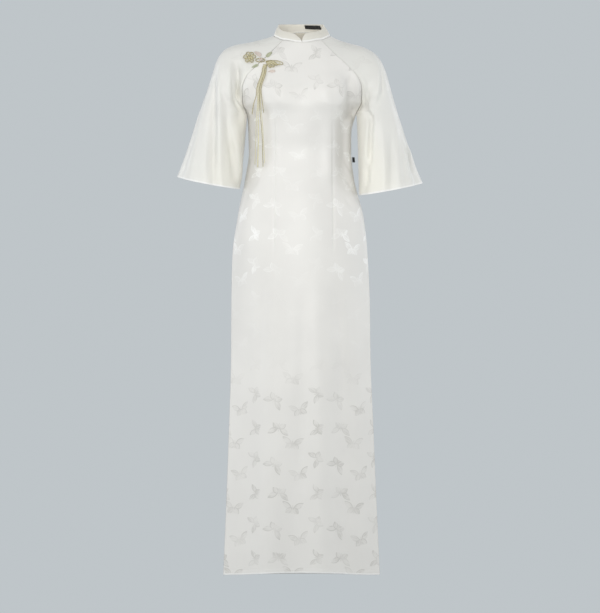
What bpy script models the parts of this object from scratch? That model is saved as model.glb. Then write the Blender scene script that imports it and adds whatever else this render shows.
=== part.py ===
"""An ao dai tunic as it hangs when worn, hollow, with nobody in it.

Metres, +Z up, the wearer faces -Y, so the wearer's left is +X. The origin lies on the body's axis,
level with the points where the shoulders meet the neck. Every panel is a loft: its rows run across
the cloth, each from the centre line to a seam, and a row's shape comes from short tables of the
garment's own sizes. "Stations" number the rows of those tables; values between two stations are
interpolated, so any number of rows can be drawn. A panel is an open surface given its thickness
towards the inside of the garment.
"""

import math

import bmesh
import bpy
from mathutils import Vector
from mathutils.bvhtree import BVHTree

CLOTH = 0.0015  # wall of the satin panels
COLLAR_CLOTH = 0.0022  # wall of the interfaced collar
SEAM_GAP = 0.0005  # clearance between two pieces that are sewn together
NECK_STATION, ARMPIT_STATION = 0, 7  # rows 0 to 7 are the yoke, between the raglan seams
SLIT_STATION = 11  # below it the front and back hang free of each other
LAST_STATION = 17  # the hem
LEFT, RIGHT = 1, -1  # the wearer's sides, as signs of X

# Stations of the front panel: where its row ends at the seam (raglan, then side seam, then slit),
# the middle of the row, and the angle in degrees by which the row has turned back at its end.
FRONT_ROWS = (
    # edge x, edge y, edge z, centre y, centre z, turn
    (0.0475, -0.0400, -0.0085, -0.0580, -0.0145, 42),  # neck seam
    (0.0680, -0.0520, -0.0290, -0.0665, -0.0350, 36),
    (0.0925, -0.0650, -0.0530, -0.0760, -0.0585, 34),
    (0.1190, -0.0735, -0.0780, -0.0850, -0.0810, 36),
    (0.1405, -0.0720, -0.1030, -0.0965, -0.1045, 46),
    (0.1495, -0.0610, -0.1330, -0.1060, -0.1335, 62),
    (0.1485, -0.0390, -0.1640, -0.1065, -0.1640, 78),
    (0.1360, 0.0000, -0.1950, -0.1020, -0.1950, 90),  # armpit
    (0.1290, 0.0000, -0.2400, -0.0950, -0.2400, 90),
    (0.1280, 0.0000, -0.2900, -0.0880, -0.2900, 90),  # waist
    (0.1370, 0.0000, -0.3600, -0.0950, -0.3600, 90),
    (0.1580, -0.0010, -0.4550, -0.1060, -0.4550, 90),  # top of the slit
    (0.1690, -0.0100, -0.5400, -0.1100, -0.5400, 78),
    (0.1735, -0.0180, -0.6600, -0.1090, -0.6600, 66),
    (0.1750, -0.0250, -0.8100, -0.1070, -0.8100, 58),
    (0.1810, -0.0320, -0.9800, -0.1050, -0.9800, 52),
    (0.1880, -0.0380, -1.1600, -0.1040, -1.1600, 48),
    (0.1960, -0.0430, -1.3440, -0.1040, -1.3380, 45),  # hem
)
BACK_ROWS = (
    # edge x, edge y, edge z, centre y, centre z, turn
    (0.0350, 0.0440, 0.0090, 0.0520, 0.0120, 30),  # neck seam
    (0.0540, 0.0570, -0.0110, 0.0660, -0.0060, 28),
    (0.0790, 0.0720, -0.0370, 0.0820, -0.0330, 28),
    (0.1040, 0.0820, -0.0650, 0.0950, -0.0620, 33),
    (0.1260, 0.0830, -0.0960, 0.1030, -0.0940, 45),
    (0.1390, 0.0720, -0.1290, 0.1070, -0.1280, 62),
    (0.1440, 0.0470, -0.1620, 0.1060, -0.1620, 78),
    (0.1360, 0.0000, -0.1950, 0.1020, -0.1950, 90),  # armpit
    (0.1290, 0.0000, -0.2400, 0.0890, -0.2400, 90),
    (0.1280, 0.0000, -0.2900, 0.0800, -0.2900, 90),  # waist
    (0.1370, 0.0000, -0.3600, 0.0930, -0.3600, 90),
    (0.1580, 0.0010, -0.4550, 0.1160, -0.4550, 90),  # top of the slit
    (0.1660, 0.0090, -0.5400, 0.1220, -0.5400, 80),
    (0.1690, 0.0180, -0.6600, 0.1200, -0.6600, 68),
    (0.1700, 0.0260, -0.8100, 0.1170, -0.8100, 60),
    (0.1760, 0.0340, -0.9800, 0.1150, -0.9800, 54),
    (0.1830, 0.0400, -1.1600, 0.1140, -1.1600, 50),
    (0.1900, 0.0450, -1.3460, 0.1140, -1.3450, 47),  # hem
)
CENTRE_REACH, EDGE_REACH = 0.55, 0.55  # how far a row runs straight from its middle and its end
# How far the cloth hangs to the wearer's left at each station, armpit to hem from the second line.
SWAY = (0, 0, 0, 0, 0, 0, 0) + (
    (-0.0015, -0.0055, -0.0048, -0.0060, -0.0035)
    + (-0.0050, -0.0035, -0.0030, -0.0020, -0.0015, -0.0010)
)

# The cups that the bust darts give the front: where each stands and how far it fills out.
CUP = {"x": 0.068, "z": -0.148, "across": 0.042, "up": 0.050, "depth": 0.015}

# Soft vertical folds of the two hanging panels. A fold fades in below its top and drifts sideways.
FRONT_FOLDS = (
    # x at its top, x at the hem, top z, half width, depth outwards
    (0.088, 0.105, -0.42, 0.026, -0.0060),
    (0.050, 0.050, -0.50, 0.030, 0.0050),
    (-0.118, -0.135, -0.50, 0.028, -0.0045),
    (-0.070, -0.092, -0.62, 0.034, 0.0050),
    (-0.004, -0.018, -0.74, 0.040, -0.0050),
    (0.140, 0.156, -0.60, 0.024, 0.0040),
)
BACK_FOLDS = (
    (0.070, 0.092, -0.50, 0.030, -0.0060),
    (0.012, 0.020, -0.60, 0.034, 0.0045),
    (-0.058, -0.070, -0.52, 0.030, -0.0055),
    (-0.120, -0.138, -0.60, 0.026, 0.0040),
    (0.128, 0.146, -0.66, 0.026, 0.0045),
)

# The raglan sleeves. Rows 0 to 7 are open arcs over the shoulder, from the front raglan seam by the
# crown to the back one; the rows below are closed rings from the underarm seam round to itself.
SLEEVE_LEAD = (
    # how a row leaves the raglan seam: outwards, over the shoulder, up; its reach at the crown
    (0.0100, 0.0090, 0.0030, 0.020),
    (0.0140, 0.0140, 0.0080, 0.028),
    (0.0170, 0.0190, 0.0140, 0.036),
    (0.0190, 0.0210, 0.0200, 0.045),
    (0.0260, 0.0100, 0.0220, 0.055),
    (0.0320, -0.0100, 0.0170, 0.066),
    (0.0260, -0.0450, 0.0080, 0.080),
    (0.0000, -0.0920, 0.0000, 0.092),
)
SLEEVES = {
    # crown x, crown z, and once the sleeve is a tube underarm x, underarm z, half depth
    LEFT: (
        (0.0710, 0.0020, 0, 0, 0),
        (0.0940, -0.0085, 0, 0, 0),
        (0.1225, -0.0172, 0, 0, 0),
        (0.1530, -0.0255, 0, 0, 0),
        (0.1835, -0.0430, 0, 0, 0),
        (0.2020, -0.0690, 0, 0, 0),
        (0.2145, -0.1050, 0, 0, 0),
        (0.2300, -0.1600, 0.1365, -0.1950, 0.069),
        (0.2440, -0.2060, 0.1385, -0.2350, 0.073),
        (0.2595, -0.2520, 0.1400, -0.2760, 0.076),
        (0.2730, -0.2920, 0.1410, -0.3160, 0.079),
        (0.2860, -0.3290, 0.1420, -0.3560, 0.082),
        (0.3015, -0.3655, 0.1430, -0.3955, 0.085),
    ),
    RIGHT: (
        (0.0720, 0.0020, 0, 0, 0),
        (0.0980, -0.0060, 0, 0, 0),
        (0.1315, -0.0142, 0, 0, 0),
        (0.1675, -0.0208, 0, 0, 0),
        (0.1935, -0.0325, 0, 0, 0),
        (0.2120, -0.0575, 0, 0, 0),
        (0.2250, -0.0960, 0, 0, 0),
        (0.2420, -0.1510, 0.1365, -0.1950, 0.069),
        (0.2570, -0.1920, 0.1400, -0.2290, 0.073),
        (0.2690, -0.2310, 0.1430, -0.2640, 0.076),
        (0.2815, -0.2700, 0.1465, -0.3010, 0.079),
        (0.2955, -0.3110, 0.1510, -0.3400, 0.082),
        (0.3110, -0.3505, 0.1560, -0.3800, 0.085),
    ),
}
# The sleeves' folds. Places run round: 0 at the front seam, 0.5 the crown, 1 the back seam.
SLEEVE_FOLDS = {
    # top station, foot station, place at the top, place at the foot, half width, depth outwards
    LEFT: (
        (4.8, 8.4, 0.03, 0.225, 0.026, -0.0045),
        (4.0, 7.4, 0.40, 0.240, 0.024, -0.0035),
        (7.2, 12, 0.215, 0.090, 0.026, -0.0050),
        (7.5, 12, 0.285, 0.200, 0.030, 0.0045),
        (8.0, 12, 0.330, 0.255, 0.026, -0.0040),
        (7.0, 12, 0.400, 0.300, 0.028, 0.0040),
        (8.5, 12, 0.430, 0.358, 0.024, 0.0065),
        (8.5, 12, 0.490, 0.412, 0.028, -0.0065),
        (5.5, 12, 0.600, 0.570, 0.040, 0.0045),
        (6.5, 12, 0.690, 0.665, 0.034, -0.0060),
        (7.5, 12, 0.770, 0.760, 0.040, 0.0050),
        (5.5, 12, 0.840, 0.860, 0.032, -0.0055),
    ),
    RIGHT: (
        (4.2, 8.4, 0.14, 0.125, 0.036, -0.0065),
        (5.0, 12, 0.395, 0.217, 0.026, -0.0070),
        (5.5, 12, 0.330, 0.175, 0.028, 0.0050),
        (8.3, 12, 0.205, 0.068, 0.028, -0.0050),
        (7.5, 12, 0.420, 0.330, 0.046, 0.0040),
        (6.5, 12, 0.470, 0.440, 0.028, -0.0040),
        (6.0, 12, 0.560, 0.550, 0.040, 0.0045),
        (5.5, 12, 0.660, 0.640, 0.034, -0.0060),
        (7.5, 12, 0.740, 0.740, 0.040, 0.0050),
        (6.5, 12, 0.860, 0.830, 0.034, -0.0055),
    ),
}
CUFF_DIP = {"front": 0.0045, "back": 0.0, "top": 5}  # how far the cuff hangs below its sides

COLLAR_TOP = {"half_width": 0.0555, "front": 0.0480, "back": 0.0490, "lean": -0.0025}
COLLAR_TOP_Z = {"front": 0.0082, "side": 0.0315, "back": 0.0328}
COLLAR_TOP_FALL = {"front": 0.6, "back": 1.5}  # low: its edge drops soon past the side
COLLAR_BOW = 0.0012  # how far the band swells between its two edges
NOTCH_HALF_ANGLE = 0.32  # of the V at the centre front, at the collar's top edge
NOTCH_CORNER = {"angle": 0.16, "drop": 0.0015}  # how its two corners are rounded

FRONT_COLUMNS, BACK_COLUMNS, SLEEVE_COLUMNS = 24, 20, 28
YOKE_STEPS, TORSO_STEPS, SKIRT_STEPS = 10, 8, 14
SLEEVE_TUBE_STEPS = 8
COLLAR_STEPS = 3
CROWDING = 0.5  # how much closer a row's columns stand at its ends

LABEL = {"from_x": 0.0490, "to_x": 0.0075, "low": 0.46, "high": 0.92, "thick": 0.0008}
SIDE_TAG = {"station": 9.28, "stations_high": 0.2, "out": 0.0060, "thick": 0.0012, "clear": 0.0016}

# The frog that closes the raglan opening, on the wearer's right. Places are X and Z as seen from
# the front; everything on it is laid on the cloth behind it.
FROG_LIFT = 0.0005  # its clearance from the cloth
FLOWER = {"x": -0.1300, "z": -0.0540, "radius": 0.0158, "rise": 0.0060, "petals": 6, "dent": 0.14}
FLOWER_SQUAT = 0.88  # its height against its width
KNOT = {"x": -0.1016, "z": -0.0605, "radius": 0.0050}
LOOP = {"from_x": -0.1118, "to_x": -0.0922, "half_width": 0.0066, "cord": 0.0011}
FAN = {"x": -0.0898, "z": -0.0635, "length": 0.0430, "rise": 0.0045, "loops": 4, "dent": 0.18}
FAN_SPREAD = (-0.92, -0.06)  # the angles between which its loops open, from +X towards +Z
FAN_SHORTER = 0.50  # how much shorter its lowest loop is than its highest
PETALS = {
    # middle x, middle z, the way it points in degrees, half length, half width, rise, colour
    "frog_leaf_upper": (-0.0820, -0.0455, 40, 0.0098, 0.0044, 0.0020, "leaf"),
    "frog_leaf_lower": (-0.1170, -0.0748, 203, 0.0092, 0.0034, 0.0020, "leaf"),
    "frog_petal_upper": (-0.1082, -0.0440, 148, 0.0085, 0.0042, 0.0018, "petal"),
    "frog_petal_lower": (-0.0755, -0.0880, 184, 0.0090, 0.0036, 0.0018, "petal"),
}
TAIL_HEAD = {"x": -0.0940, "top": -0.0710, "bottom": -0.0820, "pinch": 0.62, "gap": 0.0004}
TAIL_SPREAD_Z = -0.1350  # where the strands leave one another
TAIL_LEAN = 0.10  # how far a strand may fall back from where it last touched, for each metre
TAIL_THICKNESS, TAIL_LIFT, TAIL_STEP = 0.0014, 0.0009, 0.0105
TAILS = (
    # width at the head, width at the end, x where they part, x at the end, end z
    (0.0014, 0.0020, -0.1128, -0.1245, -0.1950),
    (0.0013, 0.0016, -0.1108, -0.1170, -0.3200),
    (0.0022, 0.0042, -0.1084, -0.1098, -0.3270),
    (0.0017, 0.0017, -0.1059, -0.0968, -0.3260),
    (0.0013, 0.0016, -0.1039, -0.0934, -0.3170),
    (0.0014, 0.0014, -0.1019, -0.0962, -0.1910),
)

SILK = {"colour": (0.86, 0.85, 0.81), "roughness": 0.45}
GOLD = {"colour": (0.62, 0.54, 0.33), "roughness": 0.5}
LEAF = {"colour": (0.62, 0.68, 0.52), "roughness": 0.5}
PETAL = {"colour": (0.74, 0.62, 0.58), "roughness": 0.5}
BLACK = {"colour": (0.012, 0.012, 0.014), "roughness": 0.7}


def slope(before, here, after):
    """The slope at a station that lets no value overshoot its neighbours."""
    rise, fall = here - before, after - here
    return 0.0 if rise * fall <= 0 else 2 * rise * fall / (rise + fall)


def between(values, station):
    """The value at any station, on a smooth curve through the stations' own values."""
    low = min(int(station), len(values) - 2)
    share = station - low
    before, start = values[max(low - 1, 0)], values[low]
    end, after = values[low + 1], values[min(low + 2, len(values) - 1)]
    leaving = slope(before, start, end) if low else end - start
    arriving = slope(start, end, after) if low + 2 < len(values) else end - start
    square, cube = share * share, share**3
    return (
        start * (2 * cube - 3 * square + 1)
        + leaving * (cube - 2 * square + share)
        + end * (3 * square - 2 * cube)
        + arriving * (cube - square)
    )


def row_at(rows, station):
    """Every column of a table at any station."""
    return [between(column, station) for column in zip(*rows)]


def bezier(points, share):
    """A point of the cubic curve with these four control points."""
    a, b, c, d = points
    rest = 1 - share
    return a * rest**3 + b * (3 * rest**2 * share) + c * (3 * rest * share**2) + d * share**3


def bump(distance, half_width):
    """A smooth rise of 1 at no distance, gone at about twice the half width."""
    return math.exp(-((distance / half_width) ** 2))


def ease(share):
    """0 to 1 with no kink at either end."""
    share = min(max(share, 0.0), 1.0)
    return share * share * (3 - 2 * share)


def fold_push(folds, x, z):
    """How far the hanging panel's folds push it outwards at a place."""
    hem = FRONT_ROWS[LAST_STATION][2]
    push = 0.0
    for top_x, hem_x, top_z, half_width, depth in folds:
        fall = (top_z - z) / (top_z - hem)
        if fall > 0:
            middle = top_x + (hem_x - top_x) * fall
            push += depth * ease(fall * 1.6) * bump(x - middle, half_width)
    return push


def panel_point(rows, folds, station, across):
    """A point of the front or back panel. across runs from -1, the right seam, to 1, the left."""
    edge_x, edge_y, edge_z, centre_y, centre_z, turn = row_at(rows, station)
    out = -1 if centre_y < 0 else 1  # the way that this panel faces
    angle = math.radians(turn)
    edge = Vector((edge_x, edge_y, edge_z))
    centre = Vector((0, centre_y, centre_z))
    depth = abs(centre_y - edge_y) / max(math.sin(angle), 0.5)
    run = Vector((math.cos(angle) * edge_x, -out * math.sin(angle) * depth, 0)) * EDGE_REACH
    point = bezier(
        (centre, centre + Vector((edge_x * CENTRE_REACH, 0, 0)), edge - run, edge), abs(across)
    )
    if out < 0:
        cup = bump(point.x - CUP["x"], CUP["across"]) * bump(point.z - CUP["z"], CUP["up"])
        point.y -= CUP["depth"] * cup * ease((edge_x - point.x) / CUP["across"])
    point.x *= 1 if across >= 0 else -1
    point.y += out * fold_push(folds, point.x, point.z)
    point.x += between(SWAY, station)
    return point


def front_point(station, across):
    return panel_point(FRONT_ROWS, FRONT_FOLDS, station, across)


def back_point(station, across):
    return panel_point(BACK_ROWS, BACK_FOLDS, station, across)


def sleeve_point(side, station, around):
    """A point of a sleeve. around runs from 0, front raglan or underarm seam, over the crown."""
    rows = SLEEVES[side]
    to_back = around > 0.5
    share = (1 - around if to_back else around) * 2
    if station <= ARMPIT_STATION:
        crown_x, crown_z = row_at(rows[: ARMPIT_STATION + 1], station)[:2]
        seam = Vector(row_at(BACK_ROWS if to_back else FRONT_ROWS, station)[:3])
        seam.x += side * between(SWAY, station)
        *lead, reach = row_at(SLEEVE_LEAD, station)
        lead = Vector(lead)
    else:
        below = station - ARMPIT_STATION
        crown_x, crown_z, seam_x, seam_z, depth = row_at(rows[ARMPIT_STATION:], below)
        seam = Vector((seam_x, 0, seam_z))
        reach = depth * 4 / 3
        lead = Vector((0, -reach, 0))
    facing = 1 if to_back else -1
    lead.y *= -facing
    crown = Vector((crown_x, 0, crown_z))
    point = bezier((seam, seam + lead, crown + Vector((0, facing * reach, 0)), crown), share)
    last = len(rows) - 1
    away = (point - (seam + crown) / 2).normalized()
    point += away * sleeve_push(SLEEVE_FOLDS[side], station, around, last)
    dip = CUFF_DIP["back" if to_back else "front"] * math.sin(math.pi * share)
    point.z -= dip * ease((station - CUFF_DIP["top"]) / (last - CUFF_DIP["top"]))
    point.x *= side
    return point


def sleeve_push(folds, station, around, last):
    """How far a sleeve's folds push it outwards. A fold fades out unless it meets the cuff."""
    push = 0.0
    for top, foot, top_place, foot_place, half_width, depth in folds:
        run = (station - top) / (foot - top)
        if 0 < run <= 1:
            fading = 1 if foot == last else ease(3 * (1 - run))
            place = top_place + (foot_place - top_place) * run
            push += depth * ease(2.5 * run) * fading * bump(around - place, half_width)
    return push


def trimmed(point_at, low, high, columns, cut_low=SEAM_GAP / 2, cut_high=SEAM_GAP / 2):
    """The points of one row, drawn a little short of the seams at its two ends."""
    step = (high - low) * 0.002
    long_low = (point_at(low + step) - point_at(low)).length / step
    long_high = (point_at(high) - point_at(high - step)).length / step
    start, end = low + cut_low / max(long_low, 1e-6), high - cut_high / max(long_high, 1e-6)
    places = (i / columns for i in range(columns + 1))
    crowded = (at - CROWDING * math.sin(2 * math.pi * at) / (2 * math.pi) for at in places)
    return [point_at(start + (end - start) * share) for share in crowded]


def spaced(low, high, steps):
    return [low + (high - low) * i / steps for i in range(steps + 1)]


def material(name, look):
    made = bpy.data.materials.new(name)
    made.use_nodes = True
    shader = made.node_tree.nodes["Principled BSDF"]
    shader.inputs["Base Color"].default_value = (*look["colour"], 1)
    shader.inputs["Roughness"].default_value = look["roughness"]
    return made


def part(name, mesh, finish):
    """A named object of the garment's collection, shaded smooth, with its finish."""
    made = bpy.data.objects.new(name, mesh)
    bpy.data.collections["ao_dai_tunic"].objects.link(made)
    made.data.materials.append(finish)
    if made.type == "MESH":
        made.data.shade_smooth()
    return made


def lofted(name, rows, rings=()):
    """The open surface through rows of points. The rows numbered in rings close on themselves."""
    built = bmesh.new()
    verts = []
    for number, row in enumerate(rows):
        line = [built.verts.new(point) for point in (row[:-1] if number in rings else row)]
        verts.append(line + line[:1] if number in rings else line)
    for upper, lower in zip(verts, verts[1:]):
        for i in range(len(upper) - 1):
            built.faces.new((upper[i], lower[i], lower[i + 1], upper[i + 1]))
    mesh = bpy.data.meshes.new(name)
    built.to_mesh(mesh)
    built.free()
    return mesh


def walled(name, mesh, finish, thickness, flipped=False):
    """A part that is a cloth wall: its outer face is the surface, its thickness lies inside."""
    if flipped:
        mesh.flip_normals()
    made = part(name, mesh, finish)
    wall = made.modifiers.new("wall", "SOLIDIFY")
    wall.thickness = thickness
    wall.offset = -1
    wall.use_even_offset = True
    wall.use_quality_normals = True
    return made


def panel_stations():
    return (
        spaced(NECK_STATION, ARMPIT_STATION, YOKE_STEPS)
        + spaced(ARMPIT_STATION, SLIT_STATION, TORSO_STEPS)[1:]
        + spaced(SLIT_STATION, LAST_STATION, SKIRT_STEPS)[1:]
    )


def make_panels(silk):
    for name, point_at, columns, faces_back in (
        ("front", front_point, FRONT_COLUMNS, False),
        ("back", back_point, BACK_COLUMNS, True),
    ):
        rows = [
            trimmed(lambda across: point_at(station, across), -1, 1, columns)
            for station in panel_stations()
        ]
        walled(name, lofted(name, rows), silk, CLOTH, faces_back)


def sleeve_rows(side):
    last = len(SLEEVES[side]) - 1
    stations = spaced(NECK_STATION, ARMPIT_STATION, YOKE_STEPS)
    stations += spaced(ARMPIT_STATION, last, SLEEVE_TUBE_STEPS)[1:]
    rings = {i for i, station in enumerate(stations) if station >= ARMPIT_STATION}
    rows = []
    for i, station in enumerate(stations):
        if i in rings:
            row = [sleeve_point(side, station, a) for a in spaced(0, 1, SLEEVE_COLUMNS)]
        else:
            row = trimmed(lambda a: sleeve_point(side, station, a), 0, 1, SLEEVE_COLUMNS)
        rows.append(row)
    return rows, rings


def make_sleeves(silk):
    for side, name in ((LEFT, "sleeve_left"), (RIGHT, "sleeve_right")):
        rows, rings = sleeve_rows(side)
        walled(name, lofted(name, rows, rings), silk, CLOTH, side == RIGHT)


def neck_seam(share):
    """A point of the seam round the neck. share runs from 0, centre front, to 1, centre back."""
    front, back = 0.32, 0.76  # the shares where the raglan seams meet it
    if share <= front:
        return front_point(NECK_STATION, share / front)
    if share < back:
        return sleeve_point(LEFT, NECK_STATION, (share - front) / (back - front))
    return back_point(NECK_STATION, (1 - share) / (1 - back))


def collar_top(angle):
    """A point of the collar's upper edge, at an angle from the centre front."""
    forward = math.cos(angle)
    end = "front" if forward > 0 else "back"
    far = COLLAR_TOP_Z[end] - COLLAR_TOP_Z["side"]
    z = COLLAR_TOP_Z["side"] + far * abs(forward) ** COLLAR_TOP_FALL[end]
    return Vector((COLLAR_TOP["half_width"] * math.sin(angle), -COLLAR_TOP[end] * forward, z))


def collar_point(share, up):
    """A point of the collar. share runs round it from its left front end to its right one."""
    side = LEFT if share <= 0.5 else RIGHT
    half = min(share, 1 - share) * 2
    seam = neck_seam(max(half, 0.002))
    angle = math.atan2(seam.x, -seam.y)
    opened = NOTCH_HALF_ANGLE * up
    top = collar_top(opened + angle * (math.pi - opened) / math.pi)
    past = (angle * (math.pi - opened) / math.pi) / NOTCH_CORNER["angle"]
    top.z -= NOTCH_CORNER["drop"] * (1 - ease(past))
    foot = seam + Vector((0, 0, SEAM_GAP))
    point = foot + (top - foot) * up
    point += Vector((seam.x, seam.y, 0)).normalized() * COLLAR_BOW * math.sin(math.pi * up)
    point.x = point.x * side + COLLAR_TOP["lean"] * up
    return point


def make_collar(silk):
    columns = 2 * (FRONT_COLUMNS // 2 + SLEEVE_COLUMNS // 2)
    rows = [
        [collar_point(share, 1 - up) for share in spaced(0, 1, columns)]
        for up in spaced(0, 1, COLLAR_STEPS)
    ]
    walled("collar", lofted("collar", rows), silk, COLLAR_CLOTH)


def collar_inside(share, up, inset):
    """A point inside the collar, moved in from its outer face."""
    point = collar_point(share, up)
    along = collar_point(share + 0.01, up) - collar_point(share - 0.01, up)
    upwards = collar_point(share, min(up + 0.05, 1)) - collar_point(share, up - 0.05)
    inwards = upwards.cross(along).normalized()
    return point + inwards * inset


def share_at(x):
    """How far round the collar its left back half passes this X."""
    low, high = 0.25, 0.5
    for _ in range(20):
        middle = (low + high) / 2
        low, high = (middle, high) if collar_point(middle, 0.7).x > x else (low, middle)
    return low


def make_neck_label(weave):
    """The woven label inside the collar, to the left of the centre back."""
    around = spaced(share_at(LABEL["from_x"]), share_at(LABEL["to_x"]), 8)
    inset = COLLAR_CLOTH + SEAM_GAP
    rows = [
        [collar_inside(share, up, inset) for share in around]
        for up in spaced(LABEL["high"], LABEL["low"], 2)
    ]
    walled("neck_label", lofted("neck_label", rows), weave, LABEL["thick"])


def make_side_tag(weave):
    """The small folded tag sewn into the left side seam at the waist."""
    bpy.ops.mesh.primitive_cube_add(size=1)
    tag = bpy.context.object
    mesh = tag.data
    bpy.data.objects.remove(tag)
    for vert in mesh.vertices:
        station = SIDE_TAG["station"] - vert.co.z * SIDE_TAG["stations_high"]
        seam = front_point(station, 1)
        vert.co.x = seam.x + SIDE_TAG["clear"] + (vert.co.x + 0.5) * SIDE_TAG["out"]
        vert.co.y *= SIDE_TAG["thick"]
        vert.co.z = seam.z
    part("side_tag", mesh, weave)


class Cloth:
    """The outer face of the front and of the right sleeve's front half, to lay pieces on."""

    def __init__(self):
        front = [
            trimmed(lambda a: front_point(s, a), -1, 1, FRONT_COLUMNS) for s in panel_stations()
        ]
        sleeve = [row[: len(row) // 2 + 1] for row in sleeve_rows(RIGHT)[0]]
        self.trees = [self.tree(front), self.tree(sleeve)]

    @staticmethod
    def tree(rows):
        wide = len(rows[0])
        points = [point for row in rows for point in row]
        faces = [
            (r * wide + c, (r + 1) * wide + c, (r + 1) * wide + c + 1, r * wide + c + 1)
            for r in range(len(rows) - 1)
            for c in range(wide - 1)
        ]
        return BVHTree.FromPolygons(points, faces)

    def at(self, x, z):
        """(the frontmost point of the cloth at this X and Z, its outward normal)."""
        for beside in (0, SEAM_GAP, -SEAM_GAP):
            start = Vector((x + beside, -1, z))
            hits = [tree.ray_cast(start, Vector((0, 1, 0)))[:2] for tree in self.trees]
            hits = [hit for hit in hits if hit[0]]
            if hits:
                point, normal = min(hits, key=lambda hit: hit[0].y)
                point.x = x
                return point, (normal if normal.y < 0 else -normal)

    def over(self, x, z, lift):
        """A point above the cloth, clear of it by lift along its smoothed normal."""
        spots = [(0, 0), (0.004, 0), (-0.004, 0), (0, 0.004), (0, -0.004)]
        normal = sum((self.at(x + dx, z + dz)[1] for dx, dz in spots), Vector())
        return self.at(x, z)[0] + normal.normalized() * lift


def closed(built, name, finish):
    """A part from a closed mesh that was built face by face."""
    bmesh.ops.recalc_face_normals(built, faces=built.faces)
    if built.calc_volume(signed=True) < 0:
        bmesh.ops.reverse_faces(built, faces=built.faces)
    mesh = bpy.data.meshes.new(name)
    built.to_mesh(mesh)
    built.free()
    return part(name, mesh, finish)


def pad(name, cloth, finish, outline, rise, rings=3):
    """A low domed solid laid on the cloth. outline gives its X and Z all round, rise its height."""
    built = bmesh.new()
    count = len(outline)
    middle_x = sum(x for x, _ in outline) / count
    middle_z = sum(z for _, z in outline) / count

    def ring(share, height):
        line = []
        for x, z in outline:
            spot = (middle_x + (x - middle_x) * share, middle_z + (z - middle_z) * share)
            line.append(built.verts.new(cloth.over(*spot, height)))
        return line

    def band(outer, inner):
        for i in range(count):
            j = (i + 1) % count
            built.faces.new((outer[i], outer[j], inner[j], inner[i]))

    edge = ring(1.0, FROG_LIFT)
    for height in (0.0, rise):  # its flat underside, then its dome
        outer = edge
        for share in spaced(0.97, 1 / rings, rings - 1):
            inner = ring(share, FROG_LIFT + height * (1 - 0.65 * share**2))
            band(outer, inner)
            outer = inner
        peak = built.verts.new(cloth.over(middle_x, middle_z, FROG_LIFT + height))
        for i in range(count):
            built.faces.new((outer[i], outer[(i + 1) % count], peak))
    return closed(built, name, finish)


def flower_outline():
    count = 6 * FLOWER["petals"]
    for i in range(count):
        turn = 2 * math.pi * i / count
        lobe = abs(math.cos(FLOWER["petals"] * turn / 2))
        radius = FLOWER["radius"] * (1 - FLOWER["dent"] * (1 - lobe))
        up = radius * math.sin(turn) * FLOWER_SQUAT
        yield FLOWER["x"] + radius * math.cos(turn), FLOWER["z"] + up


def fan_outline():
    count = 6 * FAN["loops"]
    low, high = FAN_SPREAD
    yield FAN["x"], FAN["z"] - 0.0035
    for i in range(count + 1):
        share = i / count
        lobe = abs(math.sin(math.pi * FAN["loops"] * share))
        reach = FAN["length"] * (1 - FAN_SHORTER * (1 - share))
        radius = reach * (1 - FAN["dent"] * (1 - lobe))
        turn = low + (high - low) * share
        yield FAN["x"] + radius * math.cos(turn), FAN["z"] + radius * math.sin(turn)
    yield FAN["x"], FAN["z"] + 0.0020


def petal_outline(x, z, turn, half_length, half_width, count=14):
    turn = math.radians(turn)
    for i in range(count):
        place = 2 * math.pi * i / count
        along = half_length * math.cos(place)
        out = half_width * math.sin(place) * (1 - 0.35 * math.cos(place))
        yield (
            x + along * math.cos(turn) - out * math.sin(turn),
            z + along * math.sin(turn) + out * math.cos(turn),
        )


def make_frog(cloth, gold, colours):
    """The flower, the fan of loops, the knot in its loop, and the leaves between them."""
    pad("frog_flower", cloth, gold, list(flower_outline()), FLOWER["rise"])
    pad("frog_fan", cloth, gold, list(fan_outline()), FAN["rise"])
    for name, (x, z, turn, half_length, half_width, rise, colour) in PETALS.items():
        outline = list(petal_outline(x, z, turn, half_length, half_width))
        pad(name, cloth, colours[colour], outline, rise, rings=2)
    ball = bmesh.new()
    bmesh.ops.create_uvsphere(ball, u_segments=14, v_segments=9, radius=KNOT["radius"])
    middle = cloth.over(KNOT["x"], KNOT["z"], KNOT["radius"] + FROG_LIFT)
    bmesh.ops.translate(ball, verts=ball.verts, vec=middle)
    closed(ball, "frog_knot", gold)
    make_loop(cloth, gold)


def make_loop(cloth, gold):
    """The closed loop of cord that the knot goes through."""
    middle_x = (LOOP["from_x"] + LOOP["to_x"]) / 2
    half_length = (LOOP["to_x"] - LOOP["from_x"]) / 2
    curve = bpy.data.curves.new("frog_loop", "CURVE")
    curve.dimensions = "3D"
    curve.bevel_depth = LOOP["cord"]
    curve.bevel_resolution = 1
    line = curve.splines.new("POLY")
    line.use_cyclic_u = True
    line.points.add(19)
    for i, knot in enumerate(line.points):
        turn = 2 * math.pi * i / 20
        x = middle_x + half_length * math.cos(turn)
        z = KNOT["z"] + LOOP["half_width"] * math.sin(turn)
        knot.co = (*cloth.over(x, z, LOOP["cord"] + FROG_LIFT), 1)
    part("frog_loop", curve, gold)


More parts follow.
